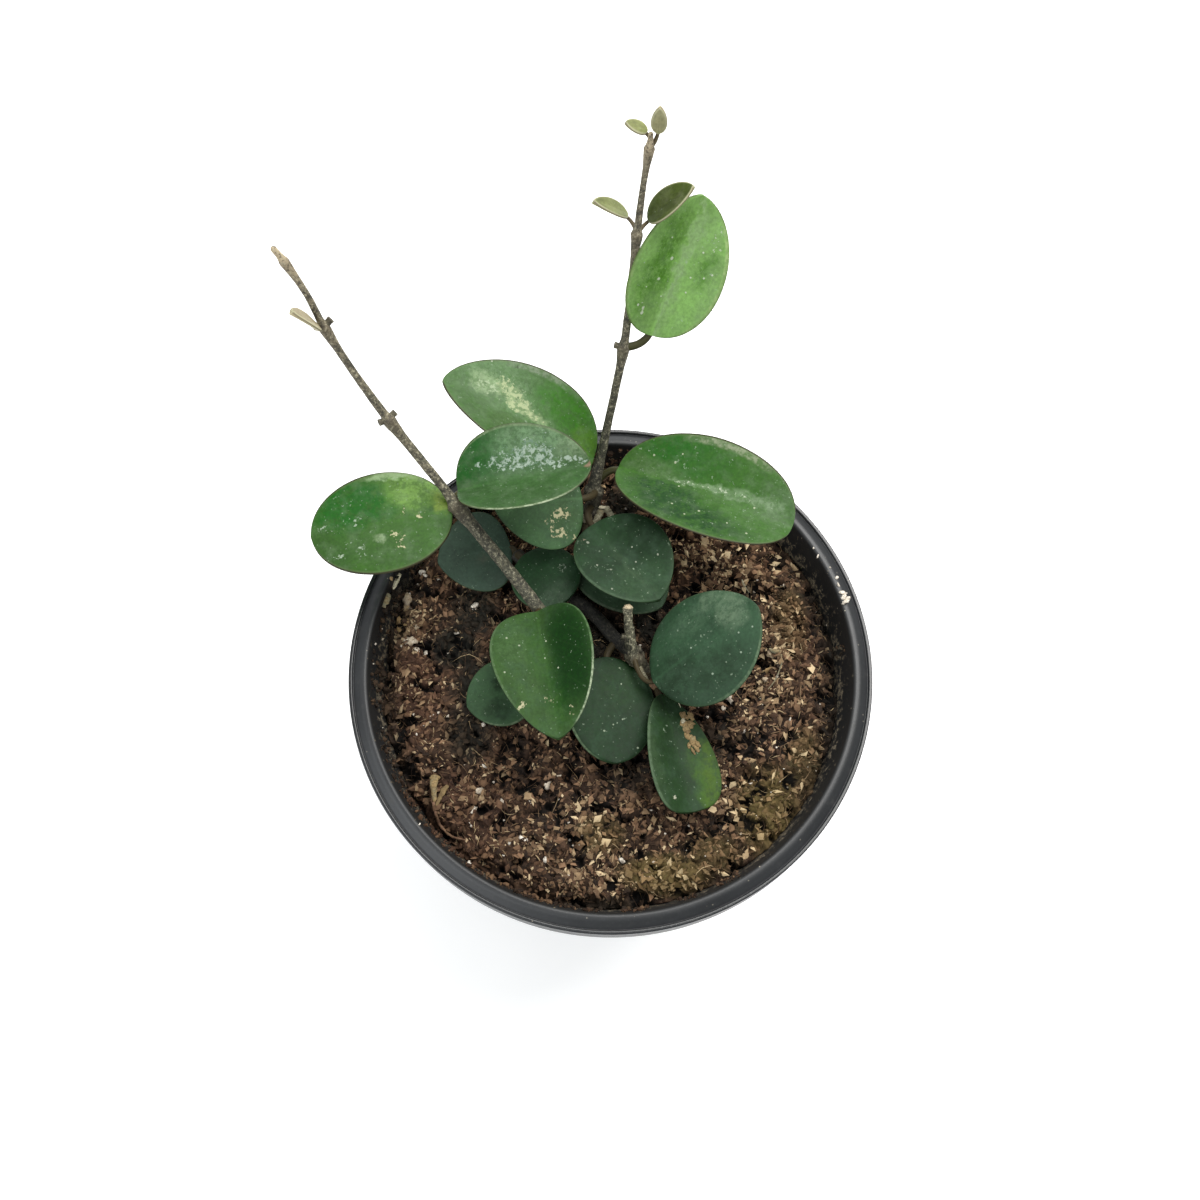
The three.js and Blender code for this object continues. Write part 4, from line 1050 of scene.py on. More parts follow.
def leafMaterial(name, leaf):
    # a mottled green with the listed patches, partly painted light and shade, and painted shade, then
    # a painted sheen, veins, flecks, flakes and dots on the upper face, a painted highlight on the rim with
    # its lit bands, a paler underside and the stalk
    look = leaf["look"]
    tone = leafTone(leaf["tone"])
    pale = shifted(tone, look["lift"])
    material, wire = newMaterial(name)
    along, across, edge = wire.attribute("blade").parts()
    s, _, up = wire.attribute("share").parts()
    top = up.above(-0.2, 0.2)
    flat = wire.vector(along, across, leaf["seed"] * 13.7)
    mottle = flat.noise(0.13, 3)
    fine = flat.noise(0.9, 5, 0.65)
    grainy = flat.moved(3, 0, 2).noise(1.5, 3, 0.6)
    crisp = flat.moved(6, 2, 8).noise(0.6, 6, 0.75)
    sheenBlotches = flat.moved(0, 0, 4).noise(0.35, 4, 0.6)
    drift = flat.node("ShaderNodeTexNoise", {}, {"Vector": flat, "Scale": 0.4, "Detail": 3.0}, 1)
    driftX, driftY = drift.parts()[:2]
    bent = (along + driftX * 4.4 - 2.2, across + driftY * 4.4 - 2.2)
    base = mottle.above(0.36, 0.64).blend(shifted(tone, look["sink"]), tone)
    base = (fine.above(0.45, 0.75) * 0.3).blend(base, pale)
    # patches of another tone: some the leaf's own colour, some painted light and shade
    for patchTone, spots in leaf.get("colourAndLightPatches", []):
        patchy = 0.45 + crisp.above(0.4, 0.56) * 0.65
        base = (blobs(*bent, spots) * patchy).smaller(1.0).blend(base, leafTone(patchTone))
    shaded = 0.0
    for shadeTone, spots in leaf.get("shade", []):
        shaded = blobs(along, across, spots).smaller(1.0)
        gloom = fine.above(0.4, 0.75).blend(leafTone(shadeTone), shifted(leafTone(shadeTone), 1.5))
        base = shaded.blend(base, gloom)
    # painted sheen: a pale haze of soft reflection over the upper face
    paintedSheen = sheenBlotches.above(0.42, 0.72) * (1 - shaded) * look["paintedSheen"] * top
    base = paintedSheen.blend(base, leafTone(look["paintedSheenTone"]))
    # faint veins slant out from the midrib, and the midrib is pale near the stalk
    slant = (along - abs(across) * 0.9) / (leaf["length"] / 7)
    vein = abs(wire.node("ShaderNodeMath", {"operation": "FRACT"}, {0: slant + mottle * 0.5}) - 0.5)
    veins = (1 - vein.above(0.0, 0.09)) * edge.above(1.0, 3.0)
    middle = 1 - abs(across).above(0.1, 0.5 * leaf["width"] / bladeForm["usualWidth"])
    base = (veins * 0.06 + middle * (1 - s) * 0.4).blend(base, pale)
    base = base.lit(0.56 + grainy * 0.88)
    # irregular pale flecks, and rounder dots with bent outlines
    flecks = flat.moved(1, 7, 5).noise(0.85, 4, 0.7).above(look["flecks"], look["flecks"] + 0.03)
    raggedAlong, raggedAcross = along + driftY * 0.9 + fine * 0.9, across + driftX * 0.9 - fine * 0.9
    near, number = wire.vector(raggedAlong, raggedAcross, leaf["seed"] * 3.1).cells(0.42)
    chosen = number.above(1 - look["specks"], 1.01 - look["specks"])
    dots = (1 - (near + grainy * 0.22).above(0.15, 0.2)) * chosen
    small, count = flat.moved(5, 1, 9).cells(1.2)
    grit = (1 - small.above(0.12, 0.22)) * count.above(0.8, 0.82)
    marks = (dots * number).larger(flecks * 0.8).larger(grit * 0.4) * top
    base = (marks * 0.6).blend(base, leafTone((174, 194, 168)))
    scurf = 0.0
    for flakeTone, fineness, spots in leaf.get("flakes", []):
        bits = flat.moved(2, 3, fineness).noise(fineness, 5, 0.7)
        cover = (bits - (0.84 - blobs(*bent, spots) * 0.36)).above(0.0, 0.07) * top
        base = (cover * 0.8).blend(base, leafTone(flakeTone))
        scurf = cover + scurf
    uneven = (along + driftX * 0.5 - 0.25, across + driftY * 0.5 - 0.25)
    for dotTone, spots in leaf.get("dots", []):
        spot = singleDots(*uneven, spots) * top
        base = (spot * 0.7).blend(base, leafTone(dotTone))
        scurf = spot + scurf
    # painted highlight: a pale line along the rim, where the thick edge catches light
    border = 1 - edge.above(look["edgeWidth"], look["edgeWidth"] + 0.45)
    base = (border * look["rimHighlight"]).blend(base, leafTone(look["rim"]))
    for bandTone, spots, inner, outer in leaf.get("bands", []):
        band = edge.above(inner - 0.1, inner + 0.1) * (1 - edge.above(outer, outer * 1.5))
        streaks = 0.25 + fine.above(0.4, 0.62) * 0.75
        lit = band * blobs(along, across, spots)
        base = (lit * streaks).smaller(0.95).blend(base, leafTone(bandTone))
        border = border - lit
    outline = (1 - edge.above(look["edgeWidth"] * 0.5, look["edgeWidth"])) * border.larger(0.0)
    base = (outline * 0.9).blend(base, leafTone(look["edge"]))
    base = ((1 - up.above(-0.6, -0.2)) * 0.5).blend(base, shifted(tone, 1.6))
    stalkTone = leafTone(look["stalk"])
    stalk = fine.above(0.35, 0.7).blend(stalkTone, shifted(stalkTone, 0.55))
    base = (1 - s.above(-0.3, -0.02)).blend(base, stalk)
    rough = look["shine"] + fine * 0.2 + paintedSheen * 0.3 + scurf * 0.15
    height = fine * 0.35 + veins * -0.2 + marks * 0.8 + mottle * 0.4 + scurf * 0.8 + grainy * 0.3
    fixed = {"Specular IOR Level": leaf.get("gloss", leafLight["gloss"])}
    return finishSurface(material, base, rough, height.bump(0.35, 0.14), fixed)


def makeLeaves():  # each blade and its stalk in one piece
    for node, leaf in leaves.items():
        size = youngLeaf if leaf["look"] is young else grownLeaf
        points, faces, values = gathered([bladeShell(leaf, size), stalkShell(leaf, size)], ("blade", "share"))
        material = leafMaterial("skin of " + node, leaf)
        makePiece("grown_" + node, points, faces, material, node, values)
        overhead.append(points)
    print("leaves made:", len(leaves))


makeLeaves()


# soil

soil = {
    "level": 75, "mound": 1.6, "edgeDip": 2.6, "dipWidth": 4.5, "grid": 276, "underLeaf": 0.25,
    "wallGap": 0.12, "sideGap": 0.3, "sideHeights": (60, 20), "footInset": 0.8,
    "waves": [(0.4, 0.31, 0.27, 1.3), (0.4, -0.29, 0.33, 0.4), (0.25, 0.83, 0.55, 0), (0.25, -0.41, 0.94, 2)],
    "lumps": [(5.2, 2.6, 31), (2.4, 1.6, 37), (1.1, 0.8, 43)],  # size, height and seed of each layer
    "pitSize": 0.3, "pitDepth": 2.4,
}
# regions of the surface, as soft ovals: x, y, half length, half width in mm, and strength
mossy = [
    (34.8, -30.8, 7, 9, 0.9), (11.7, -44.4, 9, 4, 0.9), (-2.3, -36, 5, 4, 0.5), (43, -20, 4, 7, 0.5),
    (22, -40, 6, 4, 0.5), (41, 12, 4, 8, 0.35)]
# painted shadow: nearly black patches where the soil lies in shade, most of them under the plant
paintedShadows = [
    (-35.3, 6.1, 5.5, 4.5, 1), (-31, 15, 5, 6, 0.9), (-1.5, 7, 5, 8, 1), (8.5, 12, 3.5, 6, 0.9),
    (3, 42, 4, 5, 0.9), (-48.2, 22.4, 2, 2.5, 1), (-31.2, -13.7, 5, 7, 0.8), (-29, -3, 6, 7, 0.85),
    (22.5, -15.9, 4, 5, 0.6), (-2.3, -50.7, 8, 1.4, 0.7), (5, -24, 7, 4, 0.5)]
reddish = [(-45, -3.3, 7, 14, 0.8), (-34.9, -32.6, 12, 12, 0.6), (43.3, 8.4, 6, 6, 0.5)]
regions = [  # with the strength, the most that shows, and the tone
    (reddish, 0.4, 0.8, (86, 58, 44)), (mossy, 0.42, 0.8, (116, 102, 56)), (paintedShadows, 0.95, 0.9, (26, 27, 22))]
ceilingCell, ceilingReach, ceilingFloor = 0.5, 62, 77.6


def ceilingMap():  # the lowest point above each small square of the ground, spread by one square
    points = np.concatenate(overhead)
    points = points[points[:, 2] > ceilingFloor]
    count = int(2 * ceilingReach / ceilingCell)
    cells = np.floor((points[:, :2] + ceilingReach) / ceilingCell).astype(int)
    inside = ((cells >= 0) & (cells < count)).all(1)
    lowest = np.full((count, count), 999.0)
    np.minimum.at(lowest, (cells[inside, 0], cells[inside, 1]), points[inside, 2])
    spread = lowest.copy()
    for dx, dy in np.ndindex(3, 3):
        spread = np.minimum(spread, np.roll(lowest, (dx - 1, dy - 1), (0, 1)))
    return spread


ceiling = ceilingMap()


def underCeiling(x, y):  # the ceiling map's height over each place
    i = np.clip(((x + ceilingReach) / ceilingCell).astype(int), 0, len(ceiling) - 1)
    j = np.clip(((y + ceilingReach) / ceilingCell).astype(int), 0, len(ceiling) - 1)
    return ceiling[i, j]


def soilBase(x, y):  # a low mound with broad waves, sunk a little beside the wall
    radius = np.hypot(x, y)
    edge = insideRadius(soil["level"])
    height = soil["level"] + soil["mound"] * (1 - (radius / edge) ** 2)
    for rise, alongX, alongY, shift in soil["waves"]:
        height = height + rise * np.sin(alongX * x + alongY * y + shift)
    return height - soil["edgeDip"] * eased(radius, edge - soil["dipWidth"], edge)


def soilTop(x, y):  # the base plus crumbs of three sizes, each crumb raised by its own amount, and pits
    bendX = x + 0.9 * layered(np.stack([x, y], -1) * 0.45, 51)
    bendY = y + 0.9 * layered(np.stack([x, y], -1) * 0.45, 57)
    relief = np.zeros(x.shape)
    tint = np.zeros(x.shape)
    for size, rise, seed in soil["lumps"]:
        bulge, number = lumps(bendX, bendY, size, seed)
        relief += rise * (0.75 * bulge + 0.75 * number - 0.85)
        tint += number / 3
    pits = eased(layered(np.stack([x, y], -1) * soil["pitSize"], 63), 0.15, 0.5)
    fine = layered(np.stack([x, y], -1) * 1.9, 71)
    relief += 0.16 * fine - soil["pitDepth"] * pits
    height = np.minimum(soilBase(x, y) + relief, underCeiling(x, y) - soil["underLeaf"])
    return height, relief, tint


def discGrid(count, radius):  # a square grid pressed into a disc, so that its cells stay even
    u, v = np.meshgrid(np.linspace(-1, 1, count), np.linspace(-1, 1, count), indexing="ij")
    wide = np.abs(u) > np.abs(v)
    reach = np.where(wide, u, v)
    other = np.where(wide, v, u)
    safe = np.where(reach == 0, 1, reach)
    angle = np.where(wide, np.pi / 4 * other / safe, np.pi / 2 - np.pi / 4 * other / safe)
    return radius * reach * np.cos(angle), radius * reach * np.sin(angle)


def soilMaterial(name, tones, speckle):
    # four tones from dark to pale by each crumb's tint, then reddish and mossy regions, painted shadows,
    # painted shade beside the wall and in the pits, and painted light that makes the back lighter
    material, wire = newMaterial(name)
    point = objectPoint(wire)
    tint = wire.attribute("tint")
    deep = wire.attribute("deep")
    middle = point.noise(0.9, 4, 0.65)
    fine = point.noise(4.5, 4, 0.7)
    tone = tint * 0.85 + middle * 0.4 - 0.15
    base = tone.above(0.1, 0.5).blend(colour(*tones[0]), colour(*tones[1]))
    base = tone.above(0.45, 0.85).blend(base, colour(*tones[2]))
    base = (fine.above(0.55, 0.72) * speckle).blend(base, colour(*tones[3]))
    patchy = middle * 0.8 + 0.6
    x, y = point.parts()[:2]
    for spots, strength, most, shade in regions:
        region = (blobs(x, y, spots, 0.2, 1.9) * patchy * strength).smaller(most)
        base = region.blend(base, colour(*shade))
    beside = ((x * x + y * y) ** 0.5).above(45.5, 50.5) * (1 - middle.above(0.5, 0.75) * 0.6)
    shadow = y.above(-38, -8) * 0.6 - y.above(15, 35) * 0.4 + 0.05
    base = (beside * shadow).blend(base, colour(24, 24, 19))
    base = base.lit(1 + y.above(10, 36) * 0.8)  # painted light: lighter towards the back
    base = (deep * 0.95).blend(base, colour(6, 5, 4))
    roughness = 0.7 + fine * 0.3
    normal = (fine * 0.6 + middle * 0.6).bump(0.8, 0.25)
    return finishSurface(material, base, roughness, normal, {"Specular IOR Level": 0.2})


def makeSoil():
    # the grid's height field on top, pulled in to the wall's inside, then rings down that wall and over
    # the steps of the floor, closed by one point in the middle
    count = soil["grid"]
    edge = insideRadius(soil["level"]) - soil["wallGap"]
    x, y = discGrid(count, edge)
    height, relief, tint = soilTop(x, y)
    radius = np.hypot(x, y)
    reach = insideRadius(height) - soil["wallGap"]
    squeeze = np.where(radius > edge - 1.5, np.minimum(1, reach / np.maximum(radius, 1)), 1)
    squeeze = np.where(radius > edge - 0.01, reach / np.maximum(radius, 1), squeeze)
    top = np.stack([x * squeeze, y * squeeze, height], -1)
    index = np.arange(count * count).reshape(count, count)
    quads = np.stack([index[:-1, :-1], index[1:, :-1], index[1:, 1:], index[:-1, 1:]], -1).reshape(-1, 4)
    rim = np.concatenate([index[:, 0], index[-1, 1:], index[-2::-1, -1], index[0, -2:0:-1]])
    angle = np.arctan2(top[..., 1], top[..., 0]).ravel()[rim]
    low, rise = pot["floor"] + soil["sideGap"], pot["channelRise"]
    sides = [(insideRadius(z) - soil["sideGap"], z) for z in soil["sideHeights"]]
    sides += [
        (insideRadius(pot["floor"]) - soil["footInset"], low), (pot["ringInner"], low),
        (pot["channelOuter"], low + rise), (pot["channelInner"], low + rise), (pot["padRadius"], low)]
    level = np.ones(len(rim))
    rings = [np.stack([r * np.cos(angle), r * np.sin(angle), z * level], -1) for r, z in sides]
    points = np.concatenate([top.reshape(-1, 3), *rings, [[0, 0, low]]])
    faces = [quads]
    above = rim
    n = np.roll(np.arange(len(rim)), -1)
    for k in range(len(rings)):
        below = count * count + k * len(rim) + np.arange(len(rim))
        faces.append(np.stack([above, below, below[n], above[n]], -1))
        above = below
    faces.append(np.stack([above, np.full(len(rim), len(points) - 1), above[n]], -1))
    hidden = len(points) - count * count
    # painted shade: the soil is darkest where it lies deep in the pits
    deep = eased(-relief.ravel(), 0.0, 1.4)
    values = {"tint": np.concatenate([tint.ravel(), np.full(hidden, 0.4)]),
              "deep": np.concatenate([deep, np.full(hidden, 0.6)])}
    tones = [(22, 16, 12), (50, 36, 27), (82, 62, 46), (112, 90, 66)]
    makePiece("potting_soil", points, faces, soilMaterial("peat", tones, 0.4), "soil", values)
    print("soil made:", len(quads), "quads on top")


makeSoil()


# loose bits on the soil

def icosahedron():  # twelve corners from the golden ratio, twenty faces
    g = (1 + 5**0.5) / 2
    corners = np.array([
        (-1, g, 0), (1, g, 0), (-1, -g, 0), (1, -g, 0), (0, -1, g), (0, 1, g), (0, -1, -g), (0, 1, -g),
        (g, 0, -1), (g, 0, 1), (-g, 0, -1), (-g, 0, 1)], float)
    faces = np.array([
        (0, 11, 5), (0, 5, 1), (0, 1, 7), (0, 7, 10), (0, 10, 11), (1, 5, 9), (5, 11, 4), (11, 10, 2),
        (10, 7, 6), (7, 1, 8), (3, 9, 4), (3, 4, 2), (3, 2, 6), (3, 6, 8), (3, 8, 9), (4, 9, 5), (2, 4, 11),
        (6, 2, 10), (8, 6, 7), (9, 8, 1)])
    return unit(corners), faces


def octahedron():  # six corners, eight faces
    corners = np.array([(1, 0, 0), (-1, 0, 0), (0, 1, 0), (0, -1, 0), (0, 0, 1), (0, 0, -1)], float)
    faces = np.array([(0, 2, 4), (2, 1, 4), (1, 3, 4), (3, 0, 4), (2, 0, 5), (1, 2, 5), (3, 1, 5), (0, 3, 5)])
    return corners, faces


def splitFaces(corners, faces):  # each triangle in four, with the new corners pushed out to the sphere
    edges = np.sort(np.concatenate([faces[:, [0, 1]], faces[:, [1, 2]], faces[:, [2, 0]]]), axis=1)
    pairs, number = np.unique(edges, axis=0, return_inverse=True)
    number = number.ravel() + len(corners)
    a, b, c = np.split(number, 3)
    p, q, r = faces.T
    split = np.concatenate([np.stack(t, -1) for t in ((p, a, c), (q, b, a), (r, c, b), (a, b, c))])
    return np.concatenate([corners, unit(corners[pairs].mean(1))]), split


def turned(random, count):  # random rotations, from random unit quaternions
    w, x, y, z = unit(random.normal(size=(count, 4))).T
    return np.stack([
        1 - 2 * (y * y + z * z), 2 * (x * y - z * w), 2 * (x * z + y * w),
        2 * (x * y + z * w), 1 - 2 * (x * x + z * z), 2 * (y * z - x * w),
        2 * (x * z - y * w), 2 * (y * z + x * w), 1 - 2 * (x * x + y * y)], -1).reshape(count, 3, 3)


def laid(random, count, tilt):  # rotations of things that lie: any heading, then tipped by up to the tilt
    heading = random.uniform(0, 2 * np.pi, count)
    pitch = random.uniform(-tilt, tilt, count)
    roll = random.uniform(-tilt, tilt, count)
    along = np.stack([np.cos(heading) * np.cos(pitch), np.sin(heading) * np.cos(pitch), np.sin(pitch)], -1)
    level = np.stack([-np.sin(heading), np.cos(heading), np.zeros(count)], -1)
    upright = np.cross(along, level)
    across = level * np.cos(roll)[:, None] + upright * np.sin(roll)[:, None]
    return np.stack([along, across, np.cross(along, across)], -1)


def lumpField(centres, radii, stretch, turns, random, shape, jitter=0.25):
    # one shape per centre: its corners pulled in and out, stretched along three axes and turned
    corners, faces = shape
    count = len(centres)
    own = corners[None] * (1 + jitter * random.uniform(-1, 1, (count, len(corners), 1)))
    own = own * stretch[:, None] * radii[:, None, None]
    own = np.einsum("nij,nkj->nki", turns, own)
    points = (own + centres[:, None]).reshape(-1, 3)
    faces = faces[None] + np.arange(count)[:, None, None] * len(corners)
    return points, faces.reshape(-1, 3)


def sized(random, low, high, count, power):  # sizes from low to high; a higher power makes more small ones
    return low + (high - low) * random.uniform(0, 1, count) ** power


def scattered(random, count, reach):  # even over a disc, so the radius goes by a square root
    radius = reach * np.sqrt(random.uniform(0, 1, count))
    angle = random.uniform(0, 2 * np.pi, count)
    return radius * np.cos(angle), radius * np.sin(angle)


def keptClear(x, y, z, size):  # pushed down where a leaf hangs close above
    return np.minimum(z, underCeiling(x, y) - soil["underLeaf"] - size)


def flatShaded(piece):  # facets in place of soft shading
    piece.data.polygons.foreach_set("use_smooth", np.zeros(len(piece.data.polygons), bool))


shards = {
    "peat_shards": {
        "count": 9500, "small": 0.35, "large": 1.5, "skew": 1.5, "thin": 0.15, "wide": (0.28, 0.7),
        "tilt": 0.9, "lift": 0.15, "seed": 101, "speckle": 0.3,
        "tones": [(28, 20, 15), (80, 58, 43), (128, 100, 76), (172, 148, 116)], "tintPower": 1.2},
    "husk_shards": {
        "count": 2800, "small": 0.28, "large": 1.4, "skew": 2.0, "thin": 0.18, "wide": (0.3, 0.75),
        "tilt": 0.8, "lift": 0.35, "seed": 103, "speckle": 0.25,
        "tones": [(90, 70, 52), (146, 122, 92), (198, 176, 140), (232, 216, 184)], "tintPower": 1.4,
        "drifts": [(25, 26), (30, 23), (21, 29), (33, 20), (28, 17), (38, 6), (34, -6), (29, -12), (17, 30),
                   (-47.5, 13.5), (-48, 12), (-44, 14), (-45, 9), (-29, -27), (-5, -32), (27, -28), (1, -44),
                   (36, 0), (22, -22), (35, 8), (-16, -38), (-46, -2), (40, 14), (-8, -46), (12, -46)]},
}
driftCount, driftReach = 85, 2.6  # more of them lie together at those places: how many, and how far out


def makeShards(name, plan):  # thin eight-sided splinters, tipped at random, thick enough to cast shadows
    random = np.random.default_rng(plan["seed"])
    count = plan["count"]
    x, y = scattered(random, count, insideRadius(soil["level"]) - 1.3)
    for atX, atY in plan.get("drifts", []):
        x = np.append(x, atX + random.normal(0, driftReach, driftCount))
        y = np.append(y, atY + random.normal(0, driftReach, driftCount))
    sunk = eased(-soilTop(x, y)[1], 0.2, 1.3)
    kept = (np.hypot(x, y) < insideRadius(soil["level"]) - 1.3) & (random.uniform(0, 1, len(x)) > sunk * 0.85)
    x, y = x[kept], y[kept]
    count = len(x)
    radii = sized(random, plan["small"], plan["large"], count, plan["skew"])
    height, relief, _ = soilTop(x, y)
    raised = radii * random.uniform(0.0, plan["lift"], count)
    centres = np.stack([x, y, keptClear(x, y, height + 0.1 + raised, radii)], -1)
    wide = random.uniform(*plan["wide"], count)
    stretch = np.stack([np.ones(count), wide, np.full(count, plan["thin"])], -1)
    shape = octahedron()
    points, faces = lumpField(centres, radii, stretch, laid(random, count, plan["tilt"]), random, shape, 0.35)
    tint = random.uniform(0, 1, count) ** plan["tintPower"]
    # painted shade: shards that lie in the pits are darker
    deep = eased(-relief, 0.1, 1.7) * 0.8
    values = {"tint": np.repeat(tint, len(shape[0])), "deep": np.repeat(deep, len(shape[0]))}
    material = soilMaterial(name + " skin", plan["tones"], plan["speckle"])
    flatShaded(makePiece(name, points, [faces], material, None, values))


crumbs = {"count": 2600, "small": 0.22, "large": 1.0, "flatness": 0.55, "seed": 105}
wallCrumbs = {"count": 2600, "small": 0.1, "large": 0.85, "low": 74.2, "high": 82.4, "seed": 127}


def makeCrumbs():  # rounder lumps with pulled corners, on the soil and on the wall
    random = np.random.default_rng(crumbs["seed"])
    x, y = scattered(random, crumbs["count"], insideRadius(soil["level"]) - 1.2)
    count = len(x)
    radii = sized(random, crumbs["small"], crumbs["large"], count, 2.6)
    height = soilTop(x, y)[0]
    centres = np.stack([x, y, keptClear(x, y, height + radii * 0.35, radii)], -1)
    stretch = np.stack([random.uniform(0.8, 1.5, count), random.uniform(0.6, 1.1, count),
                        random.uniform(crumbs["flatness"], 1, count)], -1)
    # and some stuck to the wall's inside, most of them low down
    angle = random.uniform(0, 2 * np.pi, wallCrumbs["count"])
    clumped = valueNoise(np.stack([np.cos(angle), np.sin(angle)], -1) * 9, 129) - 0.5 * np.cos(angle)
    angle = angle[clumped > -0.15]  # in clumps, and more of them at the left
    rise = sized(random, wallCrumbs["low"], wallCrumbs["high"], len(angle), 1.7)
    size = sized(random, wallCrumbs["small"], wallCrumbs["large"], len(angle), 2.4)
    out = insideRadius(rise) - size * 0.25
    stuck = np.stack([out * np.cos(angle), out * np.sin(angle), rise], -1)
    centres, radii = np.concatenate([centres, stuck]), np.append(radii, size)
    stretch = np.concatenate([stretch, random.uniform(0.5, 1.1, (len(rise), 3))])
    count = len(radii)
    shape = icosahedron()
    points, faces = lumpField(centres, radii, stretch, turned(random, count), random, shape, 0.35)
    tint = np.repeat(random.uniform(0, 1, count) ** 1.3, len(shape[0]))
    values = {"tint": tint, "deep": np.zeros(len(points))}
    tones = [(34, 24, 18), (70, 51, 38), (108, 84, 62), (140, 114, 84)]
    material = soilMaterial("crumbs", tones, 0.5)
    flatShaded(makePiece("peat_crumbs", points, [faces], material, None, values))


strands = {
    "peat_fibres": {
        "count": 2600, "short": 0.9, "long": 3.6, "thin": 0.05, "thick": 0.12, "curl": 0.4, "lift": 0.3,
        "seed": 107},
    "long_fibres": {
        "count": 150, "short": 3.5, "long": 8.0, "thin": 0.05, "thick": 0.09, "curl": 0.9, "lift": 0.6,
        "seed": 109},
}
perStrand = 15  # points: five rings of three


def strandField(x, y, heading, length, radius, curl, lift):
    # each strand: five rings of three points along a bent line that rides over the soil
    t = np.array([-0.5, -0.25, 0, 0.25, 0.5])
    along = t[None] * length[:, None]
    aside = curl[:, None] * (t[None] ** 2 - 0.125) * length[:, None]
    px = x[:, None] + along * np.cos(heading)[:, None] - aside * np.sin(heading)[:, None]
    py = y[:, None] + along * np.sin(heading)[:, None] + aside * np.cos(heading)[:, None]
    most = insideRadius(soil["level"]) - 0.4
    squeeze = np.minimum(1, most / np.maximum(np.hypot(px, py), 1e-6))
    px, py = px * squeeze, py * squeeze
    ground = soilTop(px, py)[0]
    chord = ground[:, :1] * (0.5 - t) + ground[:, -1:] * (0.5 + t)
    pz = np.maximum(ground, chord) * 0.65 + ground * 0.35 + radius[:, None] + lift[:, None] * (1 - 4 * t**2)
    pz = keptClear(px, py, pz, radius[:, None])
    path = np.stack([px, py, pz], -1)
    tangent = unit(np.gradient(path, axis=1))
    first = unit(np.cross(np.array([0.13, 0.07, 1.0]), tangent))
    second = np.cross(tangent, first)
    thickness = radius[:, None] * np.array([0.35, 0.9, 1, 0.85, 0.3])
    turn = np.array([0, 2, 4]) * np.pi / 3
    ring = first[:, :, None] * np.cos(turn)[:, None] + second[:, :, None] * np.sin(turn)[:, None]
    points = path[:, :, None] + ring * thickness[:, :, None, None]
    one = np.concatenate([np.concatenate([gridFaces(5, 3)[:, [0, 1, 2]], gridFaces(5, 3)[:, [0, 2, 3]]]),
                          [[0, 2, 1], [12, 13, 14]]])
    faces = one[None] + np.arange(len(x))[:, None, None] * perStrand
    return points.reshape(-1, 3), faces.reshape(-1, 3)


def strandMaterial():  # from dark brown to straw by each strand's tint
    material, wire = newMaterial("fibres")
    tint = wire.attribute("tint")
    fine = objectPoint(wire).noise(2.2, 3)
    tone = tint + fine * 0.4 - 0.2
    stops = [(0.0, colour(44, 32, 24)), (0.4, colour(84, 64, 47)), (0.75, colour(128, 104, 76)),
             (1.0, colour(182, 160, 122))]
    base = wire.node("ShaderNodeValToRGB", {"stops": stops}, {0: tone})
    normal = fine.bump(0.3, 0.08)
    return finishSurface(material, base, 0.7 + fine * 0.2, normal, {"Specular IOR Level": 0.3})


def makeStrands():  # short fibres and a few long ones
    material = strandMaterial()
    for name, plan in strands.items():
        random = np.random.default_rng(plan["seed"])
        count = plan["count"]
        x, y = scattered(random, count, insideRadius(soil["level"]) - 1.0)
        heading = random.uniform(0, 2 * np.pi, count)
        length = sized(random, plan["short"], plan["long"], count, 2)
        radius = random.uniform(plan["thin"], plan["thick"], count)
        bend = random.normal(0, plan["curl"], count)
        rise = random.uniform(0, plan["lift"], count)
        points, faces = strandField(x, y, heading, length, radius, bend, rise)
        tint = np.repeat(random.uniform(0, 1, count) ** 1.1, perStrand)
        makePiece(name, points, [faces], material, None, {"tint": tint})


perlite = {"count": 230, "small": 0.14, "large": 0.5, "seed": 113}
